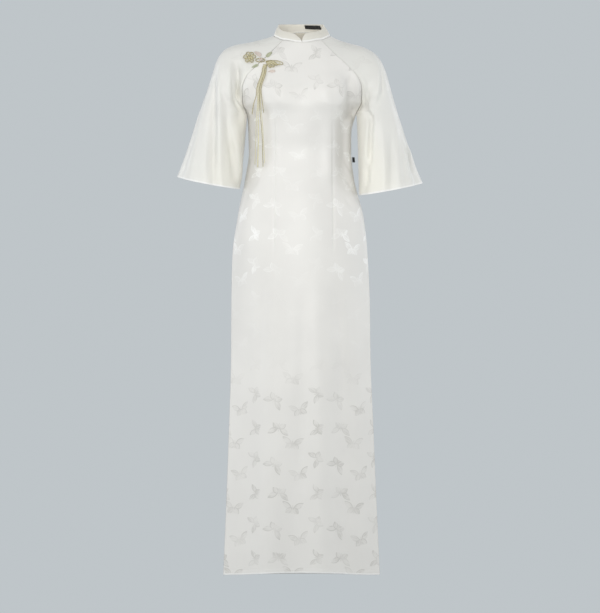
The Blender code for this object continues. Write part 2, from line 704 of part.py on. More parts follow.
def strand_path(cloth, head_x, strand, steps):
    """The middle of a strand and its half width, from its head down.

    It lies on the cloth and falls free where the cloth recedes.
    """
    width, end_width, parted_x, end_x, end_z = strand
    points = []
    for z in spaced(TAIL_HEAD["bottom"], end_z, steps):
        if z > TAIL_SPREAD_Z:
            fall = (z - TAIL_HEAD["bottom"]) / (TAIL_SPREAD_Z - TAIL_HEAD["bottom"])
            x = head_x + (parted_x - head_x) * ease(fall)
        else:
            fall = (z - TAIL_SPREAD_Z) / (end_z - TAIL_SPREAD_Z)
            x = parted_x + (end_x - parted_x) * ease(fall)
        run = (z - TAIL_HEAD["bottom"]) / (end_z - TAIL_HEAD["bottom"])
        half = (width + (end_width - width) * run) / 2
        around = [(dx, dz) for dx in (-1, 0, 1) for dz in (-1, 0, 1)]
        spots = [cloth.at(x + dx * half, z + dz * TAIL_STEP / 2)[0] for dx, dz in around]
        point = Vector((x, min(spot.y for spot in spots) - TAIL_LIFT, z))
        if points:
            last = points[-1][0]
            point.y = min(point.y, last.y + TAIL_LEAN * (last.z - z))
        points.append((point, half))
    return points


def make_tails(cloth, gold):
    """The bundle under the frog: a bound head from whose lower edge each strand hangs by itself."""
    built = bmesh.new()
    edges = []
    run = 0.0
    for width, *_ in TAILS:
        edges += [run, run + width]
        run += width + TAIL_HEAD["gap"]
    whole = edges[-1]
    out = Vector((0, -TAIL_THICKNESS, 0))

    def level(z, squeeze):
        middle_x = TAIL_HEAD["x"] + (z - TAIL_HEAD["bottom"]) * 0.25
        line = [cloth.over(middle_x + (e - whole / 2) * squeeze, z, TAIL_LIFT) for e in edges]
        return [(built.verts.new(p), built.verts.new(p + out)) for p in line]

    top = level(TAIL_HEAD["top"], TAIL_HEAD["pinch"])
    foot = level(TAIL_HEAD["bottom"], 1.0)
    for i in range(len(edges) - 1):
        for side in (0, 1):
            built.faces.new((top[i][side], top[i + 1][side], foot[i + 1][side], foot[i][side]))
        built.faces.new((top[i][0], top[i + 1][0], top[i + 1][1], top[i][1]))
        if i % 2:
            built.faces.new((foot[i][0], foot[i + 1][0], foot[i + 1][1], foot[i][1]))
    for i in (0, -1):
        built.faces.new((top[i][0], top[i][1], foot[i][1], foot[i][0]))
    for number, strand in enumerate(TAILS):
        end_z = strand[-1]
        left, right = foot[2 * number], foot[2 * number + 1]
        head_x = (left[0].co.x + right[0].co.x) / 2
        ring = [left[0], right[0], right[1], left[1]]
        steps = int((TAIL_HEAD["bottom"] - end_z) / TAIL_STEP)
        for middle, half_width in strand_path(cloth, head_x, strand, steps)[1:]:
            half = Vector((half_width, 0, 0))
            corners = (middle - half, middle + half, middle + half + out, middle - half + out)
            below = [built.verts.new(corner) for corner in corners]
            for i in range(4):
                j = (i + 1) % 4
                built.faces.new((ring[i], ring[j], below[j], below[i]))
            ring = below
        built.faces.new(ring)
    closed(built, "frog_tails", gold)


def main():
    for old in list(bpy.data.objects):
        bpy.data.objects.remove(old)
    garment = bpy.data.collections.new("ao_dai_tunic")
    bpy.context.scene.collection.children.link(garment)
    silk, gold, black = material("silk", SILK), material("gold", GOLD), material("black", BLACK)
    colours = {"leaf": material("leaf", LEAF), "petal": material("petal", PETAL)}
    make_panels(silk)
    make_sleeves(silk)
    make_collar(silk)
    make_neck_label(black)
    make_side_tag(black)
    cloth = Cloth()
    make_frog(cloth, gold, colours)
    make_tails(cloth, gold)


main()
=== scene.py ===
import math

import bmesh
import bpy
import numpy as np
from mathutils import Matrix, Vector
from mathutils.bvhtree import BVHTree


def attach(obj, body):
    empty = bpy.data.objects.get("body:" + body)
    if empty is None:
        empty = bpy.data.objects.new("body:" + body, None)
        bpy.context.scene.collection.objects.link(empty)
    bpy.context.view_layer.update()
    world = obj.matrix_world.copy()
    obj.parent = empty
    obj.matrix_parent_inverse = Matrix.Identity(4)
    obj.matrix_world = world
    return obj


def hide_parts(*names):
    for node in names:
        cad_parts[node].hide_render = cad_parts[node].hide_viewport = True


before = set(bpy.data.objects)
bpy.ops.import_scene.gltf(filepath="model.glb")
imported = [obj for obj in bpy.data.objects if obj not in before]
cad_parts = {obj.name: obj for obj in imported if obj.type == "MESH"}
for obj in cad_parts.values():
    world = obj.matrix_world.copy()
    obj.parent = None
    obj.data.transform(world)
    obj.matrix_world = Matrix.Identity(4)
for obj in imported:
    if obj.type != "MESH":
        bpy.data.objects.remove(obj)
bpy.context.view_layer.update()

armpit, slitTop, hem = 7, 11, 17  # stations, which are rows of the panels' tables
wearerLeft, wearerRight = 1, -1
clothLook = {
    "wall": 0.0015, "thin": 0.45,  # full where it is turned in at hems and seams, thinner between
    "hemHeight": 0.012, "seamGap": 0.0005, "gapEachSide": 0.00025, "seamReach": 0.012,
    "roundedEdge": 0.0003, "crowding": 0.5, "hemMargin": 1.02,
    "measured": 0.002,  # the share of a row that is measured to find how long it is at its sides
}


def ease(share):
    share = np.clip(share, 0, 1)
    return share * share * (3 - 2 * share)


def bump(distance, halfWidth):
    return np.exp(-((distance / halfWidth) ** 2))


def crowd(count, amount):  # places from 0 to 1, closer together at both ends
    at = np.linspace(0, 1, count + 1)
    return at - amount * np.sin(2 * math.pi * at) / (2 * math.pi)


def slope(before, here, after):
    rise, fall = here - before, after - here
    return 0.0 if rise * fall <= 0 else 2 * rise * fall / (rise + fall)


def between(values, station):  # a smooth curve through the values, one at each whole station
    low = min(int(station), len(values) - 2)
    share = station - low
    before, start = values[max(low - 1, 0)], values[low]
    end, after = values[low + 1], values[min(low + 2, len(values) - 1)]
    leaving = slope(before, start, end) if low else end - start
    arriving = slope(start, end, after) if low + 2 < len(values) else end - start
    square, cube = share * share, share**3
    return (start * (2 * cube - 3 * square + 1) + leaving * (cube - 2 * square + share)
            + end * (3 * square - 2 * cube) + arriving * (cube - square))


def rowAt(rows, station):
    return [between(column, station) for column in zip(*rows)]


def bezier(a, b, c, d, share):
    share = share[:, None]
    rest = 1 - share
    return a * rest**3 + b * (3 * rest**2 * share) + c * (3 * rest * share**2) + d * share**3


def circle(count):
    return np.linspace(0, 2 * math.pi, count, endpoint=False)


def turned(x, z, along, aside, angle):  # the x and z of a place along and beside a turned line
    return (x + along * math.cos(angle) - aside * math.sin(angle),
            z + along * math.sin(angle) + aside * math.cos(angle))


def wire(tree, kind, inputs=None, **settings):  # adds a node; an input is a value or a socket
    node = tree.nodes.new(kind)
    for key, value in settings.items():
        setattr(node, key, value)
    for key, value in (inputs or {}).items():
        if isinstance(value, bpy.types.NodeSocket):
            tree.links.new(value, node.inputs[key])
        else:
            node.inputs[key].default_value = value
    return node


def calc(tree, operation, *inputs):
    return wire(tree, "ShaderNodeMath", dict(enumerate(inputs)), operation=operation).outputs[0]


def times(tree, product, *factors):
    for factor in factors:
        product = calc(tree, "MULTIPLY", product, factor)
    return product


def fit(tree, value, fromLow, fromHigh, toLow=0.0, toHigh=1.0, smooth=True):
    kind = "SMOOTHSTEP" if smooth else "LINEAR"
    inputs = {0: value, 1: fromLow, 2: fromHigh, 3: toLow, 4: toHigh}
    return wire(tree, "ShaderNodeMapRange", inputs, interpolation_type=kind).outputs[0]


def split(tree, vector):
    return wire(tree, "ShaderNodeSeparateXYZ", {0: vector}).outputs


def noise(tree, place, scale, detail):
    inputs = {"Vector": place, "Scale": scale, "Detail": detail}
    return wire(tree, "ShaderNodeTexNoise", inputs).outputs[0]


def blendColours(tree, share, *colours):  # a colour is a socket or three numbers
    isSocket = [isinstance(colour, bpy.types.NodeSocket) for colour in colours]
    one, other = (c if known else (*c, 1) for c, known in zip(colours, isSocket))
    inputs = {"Factor": share, 6: one, 7: other}
    return wire(tree, "ShaderNodeMix", inputs, data_type="RGBA").outputs[2]


def newGroup(name, takes, gives):  # the group, what it takes and a function that gives its outputs
    group = bpy.data.node_groups.new(name, "ShaderNodeTree")
    for label, kind, value in takes:
        socket = group.interface.new_socket(label, in_out="INPUT", socket_type="NodeSocket" + kind)
        socket.default_value = value
    for label in gives:
        group.interface.new_socket(label, in_out="OUTPUT", socket_type="NodeSocketFloat")
    end = group.nodes.new("NodeGroupOutput").inputs

    def give(values):
        for label in gives:
            group.links.new(values[label], end[label])

    return group, group.nodes.new("NodeGroupInput").outputs, give


def useGroup(tree, group, inputs):
    return wire(tree, "ShaderNodeGroup", inputs, node_tree=group).outputs


def keepLarger(tree, found, here):
    for name, value in here.items():
        found[name] = calc(tree, "MAXIMUM", found[name], value) if name in found else value


def leafShape(tree, place, x, y, length, width, turn, soft=0.22):  # a pointed oval, 1 inside it
    inputs = {
        "Vector": place, "Location": (x, y, 0), "Rotation": (0, 0, math.radians(turn)),
        "Scale": (length, width, 1),
    }
    own = split(tree, wire(tree, "ShaderNodeMapping", inputs, vector_type="TEXTURE").outputs[0])
    arch = calc(tree, "SUBTRACT", 1.0, times(tree, own[0], own[0]))
    inside = calc(tree, "SUBTRACT", arch, calc(tree, "ABSOLUTE", own[1]))
    return fit(tree, inside, 0.0, soft), own, inside


flutter = {
    "repeat": 0.1612, "size": 0.053,
    # x, y, half length, half width and turn of each wing and the body, for a butterfly 1 wide
    "shapes": (
        (0.26, 0.13, 0.32, 0.145, 37),
        (0.15, -0.09, 0.22, 0.150, -38),
        (0.0, -0.03, 0.22, 0.075, 90),
    ),
    # place across and down in the repeat, turn in degrees, width against the others
    "places": (
        (-0.1250, -0.0100, 78, 0.75),
        (-0.0620, -0.0080, 172, 1.0),
        (-0.0280, -0.0480, -6, 1.0),
        (-0.1270, -0.0830, 112, 0.8),
        (-0.0730, -0.0980, 148, 1.0),
        (-0.0100, -0.1250, 14, 0.95),
    ),
    # ribs across and along each wing, how they show, how deep its rim is, where its front edge is
    "ribs": (7.0, 3.0), "ribsShow": (-0.6, 0.8), "rimDepth": (0.48, 0.30), "leadingEdge": (-0.35, 0.15),
}


def makeFlutterGroup():  # one woven butterfly, repeated over the cloth
    group, takes, give = newGroup("flutterMotif", [
        ("Cloth", "Vector", (0, 0, 0)), ("Centre", "Vector", (0, 0, 0)), ("Turn", "Float", 0.0),
        ("Repeat", "Float", flutter["repeat"]), ("Size", "Float", flutter["size"]), ("Width", "Float", 1.0),
    ], ("Mask", "Vein", "Rim"))
    inputs = {0: takes["Cloth"], 1: takes["Centre"]}
    away = wire(group, "ShaderNodeVectorMath", inputs, operation="SUBTRACT").outputs[0]
    wrapped = wire(group, "ShaderNodeVectorMath", {0: away}, operation="WRAP")
    for index, share in ((1, 0.5), (2, -0.5)):
        side = times(group, takes["Repeat"], share)
        corner = wire(group, "ShaderNodeCombineXYZ", {0: side, 1: side})
        group.links.new(corner.outputs[0], wrapped.inputs[index])
    inputs = {"Vector": wrapped.outputs[0], "Angle": times(group, takes["Turn"], -1.0)}
    turned = wire(group, "ShaderNodeVectorRotate", inputs, rotation_type="Z_AXIS").outputs[0]
    across, along, _ = split(group, turned)
    wide = times(group, takes["Size"], takes["Width"])
    x = calc(group, "ABSOLUTE", calc(group, "DIVIDE", across, wide))
    y = calc(group, "DIVIDE", along, takes["Size"])
    place = wire(group, "ShaderNodeCombineXYZ", {0: x, 1: y}).outputs[0]
    found = {}
    ribsAcross, ribsAlong = flutter["ribs"]
    for shape in flutter["shapes"]:
        inside, own, depth = leafShape(group, place, *shape)
        slant = times(group, own[0], ribsAlong)
        ribs = calc(group, "SINE", calc(group, "MULTIPLY_ADD", own[1], ribsAcross, slant))
        leading = fit(group, own[1], *flutter["leadingEdge"])  # a wing's front edge is woven closer
        keepLarger(group, found, {
            "Mask": inside,
            "Vein": times(group, inside, fit(group, ribs, *flutter["ribsShow"])),
            "Rim": times(group, inside, fit(group, depth, *flutter["rimDepth"]), leading),
        })
    give(found)
    return group


# How full the figures are woven: patches of finer and coarser thread, then painted patchy sheen, places where
# the figures show less as satin catches the light only here and there.
wovenLook = {
    "filled": 0.32, "veins": 0.30, "rim": 0.95, "patchScale": 46.0, "patches": (0.40, 0.60, 0.45, 1.25),
    "wornScale": 21.0, "worn": (0.40, 0.58, 0.45, 1.0),
}


def makeJacquardGroup(motif):  # six butterflies, each flying its own way, in every repeat
    group, takes, give = newGroup("butterflyJacquard", [
        ("Cloth", "Vector", (0, 0, 0)), ("Repeat", "Float", flutter["repeat"]),
        ("Size", "Float", flutter["size"]),
    ], ("Figure", "Vein"))
    found = {}
    for u, v, turn, width in flutter["places"]:
        inputs = {name: takes[name] for name in ("Cloth", "Repeat", "Size")}
        inputs.update({"Centre": (u, v, 0), "Turn": math.radians(turn), "Width": width})
        one = useGroup(group, motif, inputs)
        keepLarger(group, found, {name: one[name] for name in ("Mask", "Vein", "Rim")})
    look = wovenLook
    patches = fit(group, noise(group, takes["Cloth"], look["patchScale"], 2.0), *look["patches"])
    # painted patchy sheen: the figures show less in places
    worn = fit(group, noise(group, takes["Cloth"], look["wornScale"], 1.0), *look["worn"])
    veined = calc(group, "MULTIPLY_ADD", found["Vein"], look["veins"], look["filled"])
    filled = times(group, found["Mask"], veined, patches)
    whole = calc(group, "MAXIMUM", filled, times(group, found["Rim"], look["rim"]))
    give({"Figure": times(group, whole, worn), "Vein": found["Vein"]})
    return group


glintInputs = ("Glint From", "Glint To", "Least Glint", "Most Glint")
# Painted highlight and shade on the figures: how far down the cloth they are painted pale, as if catching the
# light, then dark; between them they hardly show.
paintedLightLook = {
    "paleFrom": (0.11, 0.17), "paleTo": (0.82, 0.76), "palesOut": (0.66, 0.54), "darksIn": (0.79, 0.93),
    "faint": 0.14, "bounceFrom": (0.09, 0.17),  # how far from the middle the ground is painted creamier, as painted bounce light
}


def makePaintedLightGroup():  # where on the cloth the figures are painted pale as a highlight, strong or hardly seen, and where bounce light is painted on the ground
    takesGlint = [(name, "Float", 1.0) for name in glintInputs]
    group, takes, give = newGroup("paintedFigureLight", [("Cloth", "Vector", (0, 0, 0)), *takesGlint],
                                  ("Pale", "Strength", "Painted Bounce"))
    look = paintedLightLook
    across, down, _ = split(group, takes["Cloth"])
    fall = times(group, down, -1.0)
    beside = calc(group, "ABSOLUTE", across)
    pale = times(group, fit(group, fall, *look["paleFrom"]), fit(group, fall, *look["paleTo"]))
    glint = fit(group, beside, *(takes[name] for name in glintInputs))
    pales = fit(group, fall, *look["palesOut"], look["faint"], 1.0)
    shown = calc(group, "MAXIMUM", pales, fit(group, fall, *look["darksIn"]))
    give({
        "Pale": pale,
        "Strength": times(group, fit(group, pale, 0.0, 1.0, 1.0, glint), shown),
        "Painted Bounce": fit(group, beside, *look["bounceFrom"]),
    })
    return group


weaveLook = {
    "drawnOut": 0.14,  # of the floats, which are longer down the cloth than across it
    "slubs": (320, 14, 1), "slubsFrom": (0.55, 0.8), "slubHeight": 0.35, "slubShade": 0.3,
    "cloudScale": 9.0, "cloudFrom": (0.3, 0.7),
}


def makeWeaveGroup():  # satin floats: fine threads down the cloth, a slub here and there
    group, takes, give = newGroup("satinWeave", [
        ("Cloth", "Vector", (0, 0, 0)), ("Thread", "Float", 0.0004),
    ], ("Height", "Shade"))
    look = weaveLook
    scale = calc(group, "DIVIDE", 1.0, takes["Thread"])
    along = times(group, scale, look["drawnOut"])
    fine = wire(group, "ShaderNodeCombineXYZ", {0: scale, 1: along}).outputs[0]
    inputs = {0: takes["Cloth"], 1: fine}
    threads = wire(group, "ShaderNodeVectorMath", inputs, operation="MULTIPLY").outputs[0]
    inputs = {"Vector": takes["Cloth"], "Scale": look["slubs"]}
    drawn = wire(group, "ShaderNodeMapping", inputs).outputs[0]
    slub = fit(group, noise(group, drawn, 1.0, 3.0), *look["slubsFrom"])
    cloud = fit(group, noise(group, takes["Cloth"], look["cloudScale"], 2.0), *look["cloudFrom"])
    give({
        "Height": calc(group, "MULTIPLY_ADD", slub, look["slubHeight"], noise(group, threads, 1.0, 1.0)),
        "Shade": calc(group, "MULTIPLY_ADD", slub, look["slubShade"], cloud),
    })
    return group


# Metres above the hem's edge; a dot is a share of the pitch of the stitches.
hemLook = {
    "stitchHalf": 0.0011, "dot": (0.22, 0.08), "inside": (-0.0006, 0.0010), "insideHeight": 0.5,
    "fold": (0.0052, 0.0034), "insidePale": 0.08, "foldHighlight": 0.9,
}


def makeHemGroup():  # a turned hem: its fold is painted pale as a highlight and the turned-in band a little paler; blind stitches dimple the cloth just above it
    group, takes, give = newGroup("hemStitch", [
        ("Edge", "Vector", (0, 0, 0)), ("Above", "Float", clothLook["hemHeight"]), ("Pitch", "Float", 0.0055),
    ], ("Height", "Pale"))
    look = hemLook
    along, up, _ = split(group, takes["Edge"])
    off = calc(group, "ABSOLUTE", calc(group, "SUBTRACT", up, takes["Above"]))
    turns = calc(group, "FRACT", calc(group, "DIVIDE", along, takes["Pitch"]))
    fromDot = calc(group, "ABSOLUTE", calc(group, "SUBTRACT", turns, 0.5))
    stitch = times(group, fit(group, off, look["stitchHalf"], 0.0), fit(group, fromDot, *look["dot"]))
    inHem = fit(group, calc(group, "SUBTRACT", takes["Above"], up), *look["inside"])
    fold = times(group, fit(group, up, *look["fold"]), look["foldHighlight"])
    give({
        "Height": calc(group, "SUBTRACT", times(group, inHem, look["insideHeight"]), stitch),
        "Pale": calc(group, "MAXIMUM", times(group, inHem, look["insidePale"]), fold),
    })
    return group


windingLook = {
    "cord": {"grit": 900.0, "gritHeight": 0.5, "gritShade": 1.2, "shade": (-0.6, 1.4)},
    "rows": {"grit": 700.0, "waver": 2.5, "shade": (-0.6, 1.6)},
}


def makeThreadGroup():  # plied metal thread, wound slantwise round a cord; its shade is painted shade between the plies
    group, takes, give = newGroup("pliedThread", [
        ("Along", "Vector", (0, 0, 0)), ("Pitch", "Float", 0.0016), ("Plies", "Float", 3.0),
    ], ("Height", "Shade"))
    look = windingLook["cord"]
    around, along, _ = split(group, takes["Along"])
    run = calc(group, "DIVIDE", along, takes["Pitch"])
    turn = calc(group, "MULTIPLY_ADD", around, takes["Plies"], run)
    wave = calc(group, "SINE", times(group, turn, 2 * math.pi))
    grit = noise(group, takes["Along"], look["grit"], 2.0)
    shade = calc(group, "MULTIPLY_ADD", grit, look["gritShade"], wave)
    give({
        "Height": calc(group, "MULTIPLY_ADD", grit, look["gritHeight"], wave),
        "Shade": fit(group, shade, *look["shade"]),
    })
    return group


def makeRowsGroup():  # close rows of thread, as in satin stitch or a woven tape; its shade is painted shade between the rows, with some grit
    group, takes, give = newGroup("threadRows", [
        ("Cloth", "Vector", (0, 0, 0)), ("Pitch", "Float", 0.0005), ("Slant", "Float", 0.6),
    ], ("Height", "Shade"))
    look = windingLook["rows"]
    across, along, _ = split(group, takes["Cloth"])
    run = calc(group, "MULTIPLY_ADD", across, takes["Slant"], along)
    turn = times(group, calc(group, "DIVIDE", run, takes["Pitch"]), 2 * math.pi)
    grit = noise(group, takes["Cloth"], look["grit"], 2.0)
    wave = calc(group, "SINE", calc(group, "MULTIPLY_ADD", grit, look["waver"], turn))
    give({"Height": wave, "Shade": fit(group, calc(group, "ADD", wave, grit), *look["shade"])})
    return group


def startMaterial(name, rough, sheen=0.0, specular=0.5, metal=0.0):
    made = bpy.data.materials.new(name)
    made.use_nodes = True
    shader = made.node_tree.nodes["Principled BSDF"]
    values = {"Roughness": rough, "Metallic": metal, "Sheen Weight": sheen, "Sheen Roughness": 0.4,
              "Specular IOR Level": specular}
    for key, value in values.items():
        shader.inputs[key].default_value = value
    return made, made.node_tree, shader


def uvSocket(tree, mapName):
    return wire(tree, "ShaderNodeUVMap", uv_map=mapName).outputs[0]


def addRelief(tree, shader, height, depth):
    relief = wire(tree, "ShaderNodeBump", {"Height": height, "Distance": depth, "Strength": 1.0})
    tree.links.new(relief.outputs[0], shader.inputs["Normal"])


def makeSilk(name, look):
    made, tree, shader = startMaterial(name, look["rough"], look["sheen"], look["specular"])
    cloth = uvSocket(tree, "clothUv")
    weave = useGroup(tree, groups["weave"], {"Cloth": cloth, "Thread": look["thread"]})
    woven = useGroup(tree, groups["jacquard"], {"Cloth": cloth})
    hemLine = useGroup(tree, groups["hem"], {"Edge": uvSocket(tree, "edgeUv")})
    glint = dict(zip(glintInputs, (*look["glintFrom"], *look["glint"])))
    fade = useGroup(tree, groups["fade"], {"Cloth": cloth, **glint})
    figured = times(tree, woven["Figure"], look["motif"])
    seen = calc(tree, "MINIMUM", times(tree, figured, fade["Strength"]), 1.0)
    ground = blendColours(tree, weave["Shade"], look["colour"], look["clouded"])
    # painted bounce light: the ground turns paler and creamier beside the seams
    bounceLit = blendColours(tree, times(tree, fade["Painted Bounce"], look["paintedBounce"]), ground, look["bounceLightColour"])
    # painted highlight: the figures turn pale where satin would catch the light, and glint more towards the
    # sides
    figure = blendColours(tree, fade["Pale"], look["motifColour"], look["motifPaintedHighlight"])
    tinted = blendColours(tree, seen, bounceLit, figure)
    # painted highlight along the hem's fold
    folded = blendColours(tree, hemLine["Pale"], tinted, look["hemFoldHighlight"])
    rough = fit(tree, figured, 0, 1, look["rough"], look["motifRough"], False)
    tree.links.new(folded, shader.inputs["Base Color"])
    tree.links.new(rough, shader.inputs["Roughness"])
    floats = times(tree, weave["Height"], look["floatHeight"])
    raised = calc(tree, "MULTIPLY_ADD", woven["Vein"], look["veinHeight"] * look["motif"], floats)
    addRelief(tree, shader, calc(tree, "ADD", raised, hemLine["Height"]), look["relief"])
    return made


def makeThread(name, look):
    look = {**threadLook, **look}
    made, tree, shader = startMaterial(name, look["rough"], metal=look["metal"])
    inputs = {"Along": uvSocket(tree, "clothUv"), "Pitch": look["pitch"]}
    plies = useGroup(tree, groups["thread"], inputs)
    # painted shade: darker between the plies
    tint = blendColours(tree, plies["Shade"], look["dark"], look["colour"])
    rough = fit(tree, plies["Shade"], 0, 1, look["rough"] + look["rougher"], look["rough"], False)
    tree.links.new(tint, shader.inputs["Base Color"])
    tree.links.new(rough, shader.inputs["Roughness"])
    addRelief(tree, shader, plies["Height"], look["relief"])
    return made


def makeRows(name, look):
    look = {**rowsLook, **look}
    made, tree, shader = startMaterial(name, look["rough"], look["sheen"])
    inputs = {"Cloth": uvSocket(tree, "clothUv"), "Pitch": look["pitch"], "Slant": look["slant"]}
    rows = useGroup(tree, groups["rows"], inputs)
    # painted shade: darker between the rows of thread
    tint = blendColours(tree, rows["Shade"], look["dark"], look["colour"])
    tree.links.new(tint, shader.inputs["Base Color"])
    addRelief(tree, shader, rows["Height"], look["relief"])
    return made


groups = {
    "jacquard": makeJacquardGroup(makeFlutterGroup()), "fade": makePaintedLightGroup(), "weave": makeWeaveGroup(),
    "hem": makeHemGroup(), "thread": makeThreadGroup(), "rows": makeRowsGroup(),
}

threadLook = {"pitch": 0.0016, "relief": 0.00012, "rougher": 0.2}  # rougher in the painted shade between the plies
rowsLook = {"pitch": 0.0006, "relief": 0.00008, "rough": 0.45, "sheen": 0.1}
silkLook = {
    # the hem's fold is painted paler than the cloth, a painted highlight
    "colour": (0.808, 0.793, 0.758), "clouded": (0.783, 0.768, 0.735), "hemFoldHighlight": (0.90, 0.895, 0.872),
    # the figures' own colour is darker; where they would catch the light they are painted pale, a painted
    # highlight
    "motifColour": (0.60, 0.585, 0.55), "motifPaintedHighlight": (0.94, 0.935, 0.91), "motif": 1.0,
    "glintFrom": (0.05, 0.12), "glint": (0.36, 1.2),  # how far from the middle the pale figures glint more, a painted highlight
    "paintedBounce": 0.0, "bounceLightColour": (0.85, 0.828, 0.74),  # painted bounce light: paler and creamier beside the seams
    "rough": 0.42, "motifRough": 0.30, "sheen": 0.45, "specular": 0.35,
    "thread": 0.0004, "relief": 0.00012, "floatHeight": 0.35, "veinHeight": 0.5,
}
# painted shade: the sleeves' copy of the body's silk is a little darker and cooler; its figures glint near
# the crown, and bounce light is painted beside the seams
shadedSleeveSilk = {
    **silkLook, "colour": (0.79, 0.783, 0.745), "clouded": (0.765, 0.758, 0.718),
    "motif": 0.35, "paintedBounce": 0.7, "glintFrom": (0.07, 0.02), "glint": (0.1, 1.6),
}
# painted shade: the collar's copy of the body's silk is darker and greyer
shadedCollarSilk = {**silkLook, "colour": (0.735, 0.712, 0.64), "clouded": (0.72, 0.697, 0.625), "motif": 0.25}
reverseSilk = {
    **silkLook, "colour": (0.76, 0.735, 0.67), "clouded": (0.72, 0.70, 0.64), "motif": 0.5,
    "hemFoldHighlight": (0.80, 0.78, 0.72), "motifColour": (0.80, 0.78, 0.72), "rough": 0.6, "motifRough": 0.55,
}
finishes = {
    "silk": makeSilk("satinJacquard", silkLook),
    "shadedSleeveSilk": makeSilk("shadedSatinSleeve", shadedSleeveSilk),
    "shadedCollarSilk": makeSilk("shadedSatinCollar", shadedCollarSilk),
    "inside": makeSilk("satinReverse", reverseSilk),
    # dark is the painted shade between the plies or rows of thread
    "gold": makeThread("goldCord", {
        "colour": (0.70, 0.63, 0.38), "dark": (0.24, 0.19, 0.08), "rough": 0.38, "metal": 0.45}),
    "paleGold": makeThread("paleGoldCord", {
        "colour": (0.89, 0.85, 0.63), "dark": (0.64, 0.58, 0.36), "rough": 0.40, "metal": 0.25}),
    "knotCord": makeThread("knotCord", {
        "colour": (0.82, 0.745, 0.66), "dark": (0.52, 0.43, 0.34), "rough": 0.42, "metal": 0.1}),
    "leaf": makeRows("leafThread", {
        "colour": (0.66, 0.68, 0.50), "dark": (0.34, 0.36, 0.22), "slant": 0.8}),
    "petal": makeRows("petalThread", {
        "colour": (0.84, 0.75, 0.69), "dark": (0.64, 0.54, 0.47), "slant": 0.6}),
    "black": makeRows("blackTape", {
        "colour": (0.012, 0.012, 0.013), "dark": (0.004, 0.004, 0.004), "rough": 0.6, "sheen": 0.2,
        "pitch": 0.0004, "slant": 0.0}),
}
print("finishes made:", len(finishes))


# How far the body leans to one side at each station, from the armpit down.
bodySway = (0,) * 7 + (-0.0015, -0.0055, -0.0048, -0.0060, -0.0035, -0.0050,
                       -0.0035, -0.0030, -0.0020, -0.0015, -0.0010)
panelCurve = {"reach": 0.55, "leastTurn": 0.5, "foldEase": 1.6}
